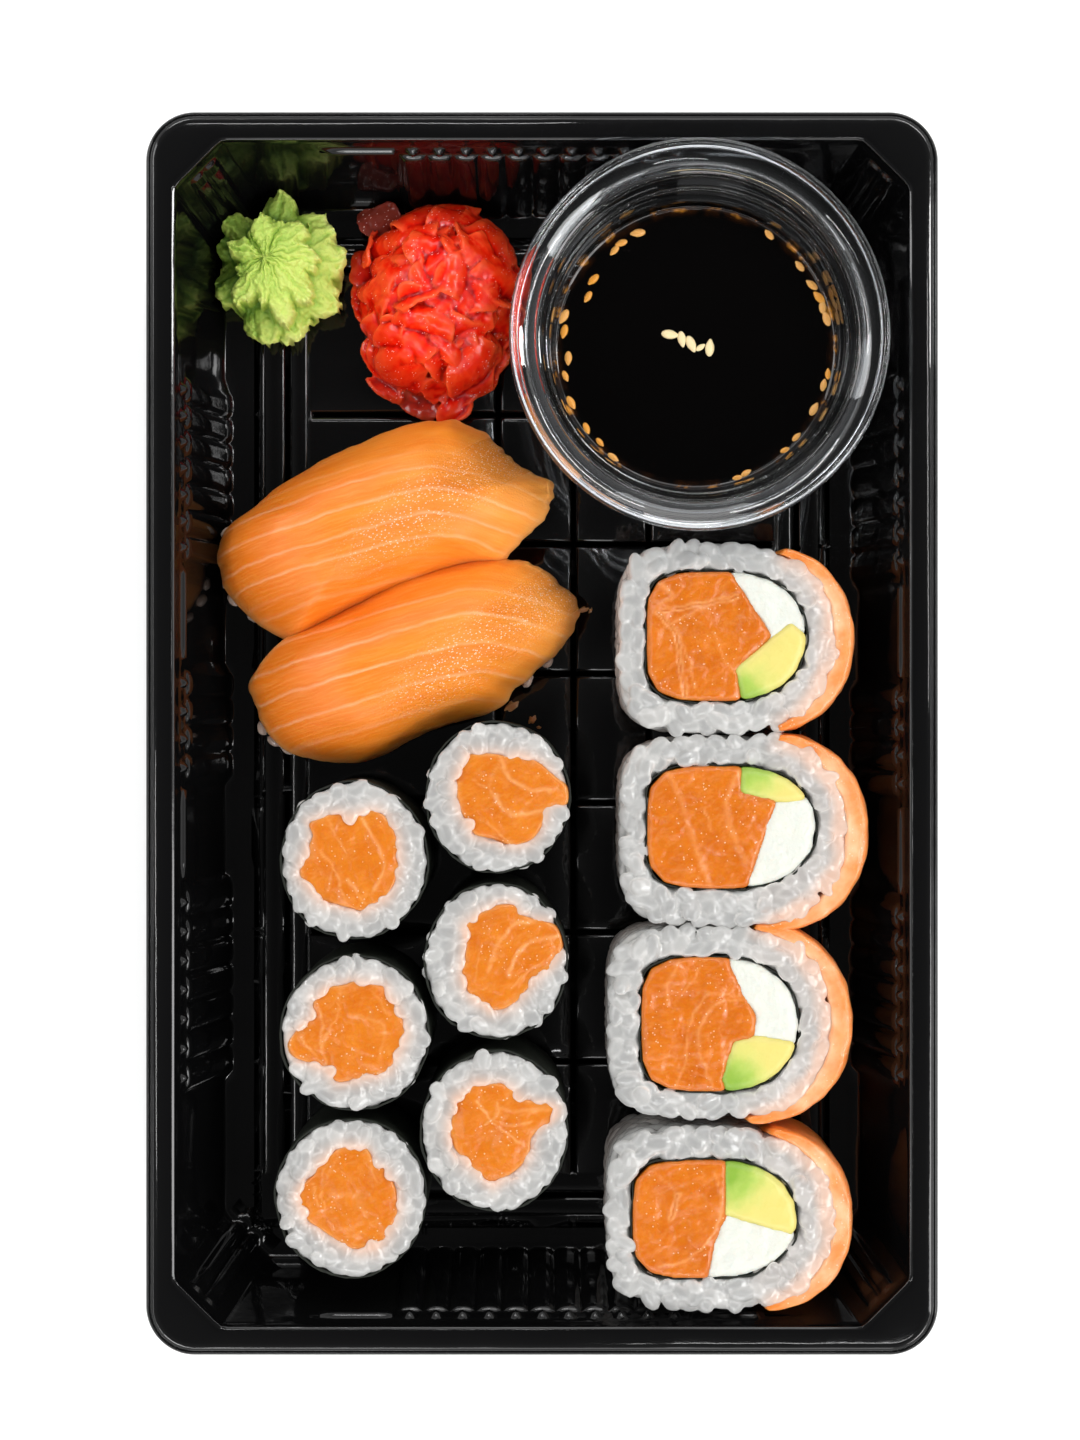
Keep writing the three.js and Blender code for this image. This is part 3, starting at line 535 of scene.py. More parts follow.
class Board:
    """The node board of one material."""

    def __init__(self, name: str) -> None:
        """Makes an empty material.

        Args:
            name: the material's name.
        """
        self.made = bpy.data.materials.new(name)
        self.made.use_nodes = True
        self.tree = self.made.node_tree
        self.tree.nodes.clear()

    def node(self, kind: str, settings: dict | None = None, **inputs: object) -> bpy.types.Node:
        """Adds a node.

        Args:
            kind: the node's type without its ShaderNode prefix.
            settings: properties of the node.
            inputs: values or sockets for its inputs; a name like i0 counts the inputs.

        Returns:
            The node.
        """
        made = self.tree.nodes.new("ShaderNode" + kind)
        for key, value in (settings or {}).items():
            setattr(made, key, value)
        for key, value in inputs.items():
            counted = key[0] == "i" and key[1:].isdigit()
            socket = made.inputs[int(key[1:]) if counted else key.replace("_", " ")]
            if isinstance(value, Socket):
                self.tree.links.new(value, socket)
            else:
                socket.default_value = value
        return made

    def math(self, operation: str, *values: object) -> Socket:
        """Returns the result of a Math node on numbers or sockets."""
        inputs = {f"i{place}": value for place, value in enumerate(values)}
        return self.node("Math", {"operation": operation}, **inputs).outputs[0]

    def times(self, value: Socket, factor: object) -> Socket:
        """Returns the product of two numbers or sockets."""
        return self.math("MULTIPLY", value, factor)

    def scaled(self, value: Socket, factor: object, offset: object) -> Socket:
        """Returns a value times a factor plus an offset."""
        return self.math("MULTIPLY_ADD", value, factor, offset)

    def place(self, stretch: Triple = (1, 1, 1), turn: float = 0.0) -> Socket:
        """Reads Object coordinates in millimetres.

        Args:
            stretch: what each axis is multiplied by.
            turn: a turn about Z before that.

        Returns:
            The coordinates.
        """
        plain = self.node("TexCoord").outputs["Object"]
        scale = tuple(value / MM for value in stretch)
        settings = {"vector_type": "TEXTURE"}
        turned = self.node("Mapping", settings, Vector=plain, Rotation=(0, 0, turn))
        return self.node("Mapping", Vector=turned.outputs[0], Scale=scale).outputs[0]

    def noise(self, place: Socket, size: float, detail: float = 2.0, rough: float = 0.5) -> Socket:
        """Adds noise.

        Args:
            place: the coordinates that it is read at.
            size: rough size of its blots.
            detail: how many finer layers it has.
            rough: how strong they are.

        Returns:
            The noise from 0 to 1.
        """
        made = self.node("TexNoise", Vector=place, Scale=1 / size, Detail=detail, Roughness=rough)
        return made.outputs["Fac"]

    def dots(self, place: Socket, count: float, radius: float) -> Socket:
        """Scatters round dots.

        Args:
            place: the coordinates that they are laid by.
            count: dots for each millimetre.
            radius: their radius as a share of their distance.

        Returns:
            1 in a dot and 0 outside.
        """
        far = self.node("TexVoronoi", Vector=place, Scale=count).outputs["Distance"]
        return self.math("LESS_THAN", far, radius)

    def ramp(self, share: Socket, stops: Sequence[tuple[float, Colour | float]]) -> Socket:
        """Reads colours off a row of stops.

        Args:
            share: where they are read, from 0 to 1.
            stops: each stop's place and its colour or grey.

        Returns:
            The colour.
        """
        made = self.node("ValToRGB", Fac=share)
        lay_stops(made.color_ramp, stops)
        return made.outputs[0]

    def blend(self, share: Socket, low: object, high: object) -> Socket:
        """Blends two colours.

        Args:
            share: 0 for the first and 1 for the second.
            low: the first colour or socket.
            high: the second colour or socket.

        Returns:
            The blend.
        """
        made = self.node("Mix", {"data_type": "RGBA", "blend_type": "MIX"}, i0=share)
        for place, value in ((6, low), (7, high)):
            if isinstance(value, Socket):
                self.tree.links.new(value, made.inputs[place])
            else:
                made.inputs[place].default_value = (*value, 1)
        return made.outputs[2]

    def attribute(self, name: str) -> Socket:
        """Returns the number that a mesh holds under a name."""
        return self.node("Attribute", {"attribute_name": name}).outputs["Fac"]

    def bump(self, height: Socket, depth: float, **after: Socket) -> Socket:
        """Returns normals for a relief of a depth in millimetres, laid over earlier ones."""
        return self.node("Bump", Height=height, Distance=depth * MM, Strength=1.0, **after).outputs[0]

    def surface(self, **inputs: object) -> bpy.types.Material:
        """Ends the board with a Principled surface and returns the material."""
        shader = self.node("BsdfPrincipled", **inputs)
        self.node("OutputMaterial", Surface=shader.outputs[0])
        return self.made


@dataclass(frozen=True)
class Finish:
    """What a piece is made of.

    Attributes:
        name: the material's name.
    """

    name: str

    def material(self) -> bpy.types.Material:
        """Returns the material, made on its first use."""
        known = bpy.data.materials.get(self.name)
        return known if known else self.build(Board(self.name))

    def build(self, board: Board) -> bpy.types.Material:
        """Lays out the nodes on a board and returns the material."""
        raise NotImplementedError


def flesh(radius: float, weight: float, warmth: float = 1.0) -> dict[str, object]:
    """Gives the inputs that let light spread inside moist food.

    Args:
        radius: how far red light spreads.
        weight: share of the light that spreads.
        warmth: how much less far green and blue light spread, from 0 to 1.

    Returns:
        The inputs of the surface.
    """
    green, blue = radius * (1 - 0.45 * warmth), radius * (1 - 0.6 * warmth)
    return {
        "Subsurface_Weight": weight,
        "Subsurface_Radius": (radius * MM, green * MM, blue * MM),
        "Subsurface_Scale": 1.0,
    }


@dataclass(frozen=True)
class BlackPlastic(Finish):
    """Glossy black sheet, a little wavy and dusty.

    Attributes:
        roughness: how rough its gloss is on average.
        waves: depth of its wide waves.
        grain: depth of its fine unevenness.
    """

    roughness: float = 0.07
    waves: float = 0.14
    grain: float = 0.008

    def build(self, board: Board) -> bpy.types.Material:
        """Lays out the nodes on a board.

        Args:
            board: the material's empty board.

        Returns:
            The finished material.
        """
        place = board.place()
        waves = board.bump(board.noise(place, 12.0, 1.0), self.waves)
        fine = board.bump(board.noise(place, 1.3, 2.0), self.grain, Normal=waves)
        rough = board.scaled(board.noise(place, 9.0, 3.0), 0.08, self.roughness - 0.04)
        black = (0.0028, 0.0028, 0.003, 1)
        return board.surface(Base_Color=black, Roughness=rough, IOR=1.5, Normal=fine)


@dataclass(frozen=True)
class ClearPlastic(Finish):
    """Thin clear plastic."""

    def build(self, board: Board) -> bpy.types.Material:
        """Lays out the nodes on a board.

        Args:
            board: the material's empty board.

        Returns:
            The finished material.
        """
        return board.surface(
            Base_Color=(0.90, 0.94, 0.98, 1),
            Roughness=0.02,
            IOR=1.52,
            Transmission_Weight=1.0,
            Normal=board.bump(board.noise(board.place(), 9.0, 1.0), 0.004),
        )


@dataclass(frozen=True)
class SoyLiquid(Finish):
    """Near-black sauce that turns amber where it thins against the cup."""

    def build(self, board: Board) -> bpy.types.Material:
        """Lays out the nodes on a board.

        Args:
            board: the material's empty board.

        Returns:
            The finished material.
        """
        uneven = board.scaled(board.noise(board.place(), 2.6, 2.0), 3.4, -1.4)
        amber = board.times(board.attribute("thin"), uneven)
        black, brown, orange = (0.0007, 0.0005, 0.0005), (0.02, 0.006, 0.001), (0.5, 0.2, 0.02)
        tone = board.ramp(amber, [(0.0, black), (0.5, brown), (1.0, orange)])
        return board.surface(Base_Color=tone, Roughness=0.03, IOR=1.36)


@dataclass(frozen=True)
class SesameSeed(Finish):
    """Pale seeds, darker where they are soaked."""

    def build(self, board: Board) -> bpy.types.Material:
        """Lays out the nodes on a board.

        Args:
            board: the material's empty board.

        Returns:
            The finished material.
        """
        tone = board.blend(board.attribute("soaked"), (0.80, 0.66, 0.38), (0.78, 0.30, 0.012))
        speckle = board.noise(board.place(), 0.5, 2.0)
        tone = board.blend(board.times(speckle, 0.2), tone, (0.55, 0.36, 0.12))
        relief = board.bump(speckle, 0.05)
        return board.surface(Base_Color=tone, Roughness=0.35, Normal=relief, **flesh(0.8, 0.15))


@dataclass(frozen=True)
class CookedRice(Finish):
    """Translucent grains with a painted sheen: paler rims and seams and greyer middles, tinted where they
    touch salmon.
    """

    def build(self, board: Board) -> bpy.types.Material:
        """Lays out the nodes on a board.

        Args:
            board: the material's empty board.

        Returns:
            The finished material.
        """
        # Painted sheen: the rim attribute makes the grains' sloping sides and seams paler and their middles
        # greyer.
        heart, body, rim = (0.35, 0.35, 0.343), (0.47, 0.467, 0.455), (0.84, 0.83, 0.80)
        tone = board.ramp(board.attribute("rim"), [(0.0, heart), (0.35, body), (0.85, rim)])
        own = board.times(board.attribute("tone"), 0.4)
        tone = board.blend(own, tone, (0.66, 0.65, 0.625))
        tone = board.blend(board.attribute("tint"), tone, (0.86, 0.52, 0.36))
        return board.surface(
            Base_Color=tone,
            Roughness=0.25,
            IOR=1.42,
            Normal=board.bump(board.noise(board.place(), 0.8, 2.0), 0.06),
            Coat_Weight=0.5,
            Coat_Roughness=0.06,
            **flesh(1.4, 0.5, 0.1),
        )


@dataclass(frozen=True)
class SeaweedSheet(Finish):
    """Thin dark nori."""

    def build(self, board: Board) -> bpy.types.Material:
        """Lays out the nodes on a board.

        Args:
            board: the material's empty board.

        Returns:
            The finished material.
        """
        fibres = board.noise(board.place(), 0.8, 4.0, 0.7)
        tone = board.ramp(fibres, [(0.3, (0.004, 0.005, 0.004)), (0.75, (0.016, 0.02, 0.012))])
        relief = board.bump(fibres, 0.16)
        return board.surface(Base_Color=tone, Roughness=0.6, Normal=relief, Specular_IOR_Level=0.3)


@dataclass(frozen=True)
class RawSalmon(Finish):
    """Salmon whose fat shows as pale lines held in the mesh's fat attribute, with painted glints as pale dots
    in patches.

    Attributes:
        deep: colour of the flesh where it is thick.
        pale: colour where it is thin or pressed.
        fat: colour of the fat lines.
    """

    deep: Colour = (0.585, 0.138, 0.003)
    pale: Colour = (0.685, 0.21, 0.013)
    fat: Colour = (0.84, 0.46, 0.19)

    def build(self, board: Board) -> bpy.types.Material:
        """Lays out the nodes on a board.

        Args:
            board: the material's empty board.

        Returns:
            The finished material.
        """
        place = board.place()
        mottle = board.scaled(board.noise(place, 4.2, 3.0), 1.8, -0.4)
        tone = board.blend(mottle, self.deep, self.pale)
        fibre = board.noise(board.place((0.6, 1.3, 1.0), 0.4), 1.0, 3.0)
        tone = board.blend(board.scaled(fibre, 0.5, -0.24), tone, self.fat)
        fade = board.scaled(board.noise(place, 3.0, 2.0), 1.5, -0.1)
        fat = board.times(board.attribute("fat"), board.times(fade, 0.7))
        tone = board.blend(fat, tone, self.fat)
        # Painted glints: pale dots in patches stand in for highlights on wet spots.
        moist = board.math("GREATER_THAN", board.noise(place, 3.4, 2.0), 0.52)
        beads = board.times(board.dots(place, 1.25, 0.17), moist)
        tone = board.blend(board.times(beads, 0.5), tone, (0.98, 0.78, 0.6))
        relief = board.math("ADD", board.noise(place, 0.9, 3.0), board.times(beads, 0.5))
        return board.surface(
            Base_Color=tone,
            Roughness=0.28,
            IOR=1.42,
            Normal=board.bump(relief, 0.16),
            Coat_Weight=0.2,
            Coat_Roughness=0.07,
            **flesh(2.4, 0.4),
        )


@dataclass(frozen=True)
class NigiriSalmon(Finish):
    """The slice on a nigiri, with long fat lines that arch over its right end, and painted light: a paler
    right end, a deeper left end, a lighter rim and painted glints.

    Attributes:
        crest_x: where along X the lines are highest.
        levels: Y of each line at that place, with its width and its strength.
        bow: how round the lines turn at their crest.
        fall: how steeply they fall away from it.
        slant: how far they climb along X all the way.
        below: how far below the first line the row of lines starts.
        above: how far above the last line it ends.
    """

    crest_x: float = 0.0
    levels: Sequence[Triple] = ()
    bow: float = 6.0
    fall: float = 0.343
    slant: float = 0.029
    below: float = 4.0
    above: float = 6.0

    def lines(self, board: Board, level: Socket) -> Socket:
        """Draws the fat lines over the arched levels.

        Args:
            board: the material's board.
            level: the level of each place.

        Returns:
            How strong the lines are.
        """
        low = self.levels[0][0] - self.below
        span = self.levels[-1][0] + self.above - low
        stops: list[tuple[float, float]] = [(0.0, 0.0)]
        for at, width, strength in self.levels:
            middle, half = (at - low) / span, width / span
            stops += [(middle - half, 0.0), (middle, strength), (middle + half * 1.6, 0.0)]
        return board.ramp(board.math("DIVIDE", board.math("SUBTRACT", level, low), span), stops)

    def build(self, board: Board) -> bpy.types.Material:
        """Lays out the nodes on a board.

        Args:
            board: the material's empty board.

        Returns:
            The finished material.
        """
        place = board.place()
        parts = board.node("SeparateXYZ", Vector=place)
        beyond = board.math("SUBTRACT", parts.outputs[0], self.crest_x)
        bowed = board.math("SQRT", board.scaled(beyond, beyond, self.bow**2))
        level = board.scaled(beyond, self.slant, board.scaled(bowed, self.fall, parts.outputs[1]))
        level = board.math("SUBTRACT", level, self.fall * self.bow)
        wander = board.scaled(board.noise(place, 9.0, 2.0), 1.5, -0.75)
        shaky = board.scaled(board.noise(place, 1.6, 2.0), 0.3, -0.15)
        level = board.math("ADD", level, board.math("ADD", wander, shaky))
        fade = board.scaled(board.noise(place, 7.0, 2.0), 1.6, -0.05)
        fat = board.times(self.lines(board, level), fade)
        along = board.node("CombineXYZ", i0=board.times(beyond, 0.07), i1=level).outputs[0]
        streaks = board.noise(along, 0.42, 3.0)
        band = board.scaled(board.noise(along, 2.6, 2.0), 1.8, -0.45)
        tone = board.blend(band, (0.80, 0.205, 0.010), (0.87, 0.30, 0.028))
        # Painted light and shade: the right end is painted paler and the left end deeper, as the light falls
        # from the right.
        far_end = board.math("MINIMUM", board.scaled(beyond, 0.035, -0.1), 0.6)
        tone = board.blend(far_end, tone, (1.0, 0.43, 0.09))
        near_end = board.math("MINIMUM", board.scaled(beyond, -0.03, -0.2), 0.7)
        tone = board.blend(near_end, tone, (0.74, 0.16, 0.006))
        tone = board.blend(board.scaled(streaks, 0.6, -0.26), tone, (0.95, 0.48, 0.17))
        tone = board.blend(board.times(fat, 0.36), tone, (0.98, 0.68, 0.44))
        # Painted light: the rim is painted a lighter orange, which lifts the shade along the thin edge.
        tone = board.blend(board.attribute("edge"), tone, (0.95, 0.42, 0.12))
        wet = board.attribute("wet")
        # Painted glints: pale dots in the wet zone stand in for highlights.
        drops = board.dots(board.place((1.0, 1.5, 1.0), 0.4), 1.7, 0.24)
        drops = board.times(drops, board.scaled(wet, 1.2, -0.3))
        tone = board.blend(board.times(drops, 0.8), tone, (1.0, 0.88, 0.7))
        beads = board.noise(board.place((1.0, 1.4, 1.0), 0.4), 0.42, 2.0, 0.6)
        relief = board.bump(board.times(beads, wet), 0.42, Normal=board.bump(streaks, 0.05))
        rough = board.scaled(wet, -0.3, 0.43)
        return board.surface(Base_Color=tone, Roughness=rough, IOR=1.42, Normal=relief, **flesh(2.4, 0.4))


@dataclass(frozen=True)
class CreamCheese(Finish):
    """Smooth white cheese."""

    def build(self, board: Board) -> bpy.types.Material:
        """Lays out the nodes on a board.

        Args:
            board: the material's empty board.

        Returns:
            The finished material.
        """
        place = board.place()
        tone = board.blend(board.noise(place, 4.0, 2.0), (0.69, 0.69, 0.60), (0.66, 0.68, 0.635))
        relief = board.bump(board.noise(place, 2.2, 3.0), 0.7)
        return board.surface(Base_Color=tone, Roughness=0.4, Normal=relief, **flesh(1.2, 0.2))


@dataclass(frozen=True)
class RipeAvocado(Finish):
    """Avocado flesh, yellow inside and green towards its skin."""

    def build(self, board: Board) -> bpy.types.Material:
        """Lays out the nodes on a board.

        Args:
            board: the material's empty board.

        Returns:
            The finished material.
        """
        place = board.place()
        blots = board.scaled(board.noise(place, 2.5, 3.0), 0.5, -0.25)
        share = board.math("ADD", board.attribute("green"), blots)
        yellow, straw = (0.70, 0.60, 0.17), (0.62, 0.60, 0.16)
        light, green = (0.38, 0.52, 0.09), (0.23, 0.40, 0.04)
        tone = board.ramp(share, [(0.0, yellow), (0.35, straw), (0.7, light), (1.0, green)])
        relief = board.bump(board.noise(place, 1.0, 3.0), 0.12)
        return board.surface(Base_Color=tone, Roughness=0.38, Normal=relief, **flesh(1.2, 0.15))


@dataclass(frozen=True)
class WasabiPaste(Finish):
    """Grainy green paste with painted light and shade: paler and yellower on its crests and lower right side,
    darker in its hollows and low parts.
    """

    def build(self, board: Board) -> bpy.types.Material:
        """Lays out the nodes on a board.

        Args:
            board: the material's empty board.

        Returns:
            The finished material.
        """
        place = board.place()
        mottle = board.scaled(board.noise(place, 5.0, 3.0), 0.7, -0.35)
        # Painted light and shade: the crest attribute darkens hollows and low parts and lightens crests and
        # the lower right side.
        share = board.math("ADD", board.attribute("crest"), mottle)
        deep, green = (0.10, 0.23, 0.014), (0.32, 0.50, 0.06)
        light, yellow = (0.54, 0.68, 0.13), (0.62, 0.71, 0.19)
        tone = board.ramp(share, [(0.0, deep), (0.36, green), (0.7, light), (1.0, yellow)])
        relief = board.bump(board.noise(place, 0.8, 4.0, 0.7), 0.3)
        return board.surface(Base_Color=tone, Roughness=0.5, Normal=relief, **flesh(1.0, 0.15))


@dataclass(frozen=True)
class PickledGinger(Finish):
    """Thin red slices, glossy with brine, with painted shade in their folds, painted light on their crests
    and painted glints.
    """

    def build(self, board: Board) -> bpy.types.Material:
        """Lays out the nodes on a board.

        Args:
            board: the material's empty board.

        Returns:
            The finished material.
        """
        place = board.place()
        mottle = board.scaled(board.noise(place, 3.5, 3.0), 0.7, -0.35)
        # Painted shade and light: the crest attribute darkens the folds and lightens the crests.
        share = board.math("ADD", board.attribute("crest"), mottle)
        deep, plain, bright = (0.45, 0.0006, 0.0002), (0.9, 0.01, 0.001), (1.0, 0.075, 0.012)
        tone = board.ramp(share, [(0.14, deep), (0.46, plain), (1.0, bright)])
        tone = board.blend(board.times(board.attribute("thin"), 0.5), tone, (1.0, 0.13, 0.035))
        tone = board.blend(board.attribute("brown"), tone, (0.22, 0.03, 0.018))
        # Painted glints: pale dots in patches stand in for highlights on the wet slices.
        damp = board.math("GREATER_THAN", board.noise(place, 2.6, 2.0), 0.52)
        glint = board.times(board.dots(board.place((1.0, 2.2, 1.0), 0.7), 1.1, 0.15), damp)
        tone = board.blend(board.times(glint, 0.75), tone, (1.0, 0.7, 0.6))
        fibres = board.noise(board.place((0.5, 1.5, 1.0), 0.9), 0.9, 3.0)
        return board.surface(
            Base_Color=tone,
            Roughness=0.13,
            IOR=1.34,
            Normal=board.bump(fibres, 0.08),
            Coat_Weight=0.2,
            Coat_Roughness=0.03,
            **flesh(1.6, 0.6),
        )


@dataclass(frozen=True)
class FloorPaper(Finish):
    """Plain matt white ground."""

    def build(self, board: Board) -> bpy.types.Material:
        """Lays out the nodes on a board.

        Args:
            board: the material's empty board.

        Returns:
            The finished material.
        """
        return board.surface(
            Base_Color=(0.9, 0.9, 0.9, 1),
            Roughness=1.0,
            Specular_IOR_Level=0.0,
            Emission_Color=(1, 1, 1, 1),
            Emission_Strength=0.3,
        )


RICE = CookedRice("cooked_rice")
NORI = SeaweedSheet("seaweed_sheet")
SALMON = RawSalmon("raw_salmon")
DEEP_SALMON = RawSalmon("deep_salmon", (0.53, 0.116, 0.002), (0.65, 0.178, 0.009), (0.84, 0.42, 0.17))
DRY_SALMON = RawSalmon("dry_salmon", (0.36, 0.12, 0.03), (0.6, 0.26, 0.10), (0.8, 0.45, 0.25))
PALE_SALMON = RawSalmon("pale_salmon", (0.74, 0.18, 0.018), (0.84, 0.26, 0.045), (0.95, 0.60, 0.37))


# ---------------------------------------------------------------- studio


@dataclass
class Studio:
    """A pale floor, soft panels of light and a camera straight above.

    Attributes:
        floor_radius: radius of the floor.
        floor_drop: how far the floor lies under the tray.
        camera_place: where the camera stands.
        lens: its focal length.
        panel_distance: how far the lights stand from the tray.
        panels: name, azimuth and polar angle in degrees, size and watts of each soft light.
        strips: azimuths of the long thin lights that draw lines on the tray's edges.
        sparks: azimuths of the small lights that draw glints.
        air: height of the sky from 0 (straight down) to 1 (straight up), and its brightness there.
    """

    floor_radius: float = 3000.0
    floor_drop: float = 0.05
    camera_place: Triple = (-0.345, 2.33, 427.0)
    lens: float = 57.97
    panel_distance: float = 900.0
    panels: tuple = (
        ("panel_right", -20, 48, (300, 340), 2.3),
        ("panel_left", 150, 50, (240, 300), 1.1),
        ("panel_far", 80, 50, (420, 240), 0.8),
        ("panel_near", 270, 52, (420, 240), 1.2),
        ("lamp_right", 24, 40, (90, 90), 0.7),
    )
    strips: tuple[float, ...] = (4, 52, 108, 172, 214, 248, 316)
    sparks: tuple[float, ...] = (16, 102, 196, 290)
    air: tuple = (
        (0.0, 0.95), (0.2, 0.9), (0.5, 0.55), (0.64, 0.4), (0.665, 2.0), (0.71, 2.0), (0.74, 0.3),
        (0.9, 0.12), (1.0, 0.05),
    )  # fmt: skip

    def build(self) -> None:
        """Makes the floor, the lights and the camera."""
        bpy.ops.object.select_all(action="DESELECT")
        bpy.ops.mesh.primitive_circle_add(
            vertices=96,
            radius=self.floor_radius * MM,
            fill_type="NGON",
            location=(0, 0, -self.floor_drop * MM),
        )
        floor = bpy.context.object
        floor.name = "studio_floor"
        floor.data.materials.append(FloorPaper("floor_paper").material())
        for panel in self.panels:
            self.panel(*panel)
        for number, azimuth in enumerate(self.strips):
            self.panel(f"strip_{number}", azimuth, 46, (420, 24), 0.6)
        for number, azimuth in enumerate(self.sparks):
            self.panel(f"spark_{number}", azimuth, 31, (220, 10), 0.2)
        self.sky()
        self.camera()

    def panel(self, name: str, azimuth: float, polar: float, size: Pair, power: float) -> None:
        """Adds one soft light panel aimed at the tray.

        Args:
            name: the light's name.
            azimuth: its direction in degrees from +X.
            polar: its angle in degrees from straight up.
            size: its width and height.
            power: watts.
        """
        across, tilt = math.radians(azimuth), math.radians(polar)
        distance = self.panel_distance * MM
        place = (
            distance * math.sin(tilt) * math.cos(across),
            distance * math.sin(tilt) * math.sin(across),
            distance * math.cos(tilt),
        )
        bpy.ops.object.light_add(type="AREA", location=place, rotation=(tilt, 0, across + math.pi / 2))
        light = bpy.context.object
        light.name = name
        light.data.shape = "RECTANGLE"
        light.data.size, light.data.size_y = size[0] * MM, size[1] * MM
        light.data.energy = power
        light.visible_camera = False

    def sky(self) -> None:
        """Makes the air round the tray, dark overhead and bright at its foot."""
        world = bpy.data.worlds.new("soft_air")
        world.use_nodes = True
        bpy.context.scene.world = world
        tree = world.node_tree
        tree.nodes.clear()
        kinds = ("TexCoord", "SeparateXYZ", "ValToRGB", "Background", "OutputWorld")
        direction, parts, ramp, back, out = [tree.nodes.new("ShaderNode" + kind) for kind in kinds]
        lay_stops(ramp.color_ramp, self.air)
        tree.links.new(direction.outputs["Generated"], parts.inputs[0])
        tree.links.new(parts.outputs[2], ramp.inputs[0])
        tree.links.new(ramp.outputs[0], back.inputs[0])
        tree.links.new(back.outputs[0], out.inputs[0])

    def camera(self) -> None:
        """Sets the camera above the tray, looking straight down."""
        view = bpy.data.cameras.new("view_from_above")
        view.sensor_fit = "VERTICAL"
        view.sensor_height = 36.0
        view.sensor_width = 27.0
        view.lens = self.lens
        view.clip_start, view.clip_end = 0.01, 20.0
        item = bpy.data.objects.new("view_from_above", view)
        item.location = [value * MM for value in self.camera_place]
        bpy.context.scene.collection.objects.link(item)
        bpy.context.scene.camera = item
        bpy.context.scene.view_settings.view_transform = "Standard"


# ---------------------------------------------------------------- tray


class Corner(Enum):
    """How a ring of the tray turns its corners."""

    CUT = 1
    ROUND = 2


@dataclass
class Row:
    """One ring of the tray's skin.

    Attributes:
        side: inset from the rim's edge on the long sides.
        end: the same on the short ends.
        z: height.
        corner: how it turns its corners.
        turn: length of the cut corner along each side, or the radius of the round one.
    """

    side: float
    end: float
    z: float
    corner: Corner = Corner.CUT
    turn: float = 8.0


@dataclass
class Groove:
    """Equal grooves pressed into the floor side by side.

    Attributes:
        places: where their middles are on the axis that they cross.
        crosses: the axis that they cross, 0 for X and 1 for Y.
        half: half their width.
        depth: their depth as a share of the deepest.
        reach: how far they run to both sides of the middle.
    """

    places: tuple[float, ...]
    crosses: int
    half: float
    depth: float
    reach: float


CROSS_GROOVES = (*(-60.4 + 23.75 * number for number in range(6)), -84.9, 84.9)


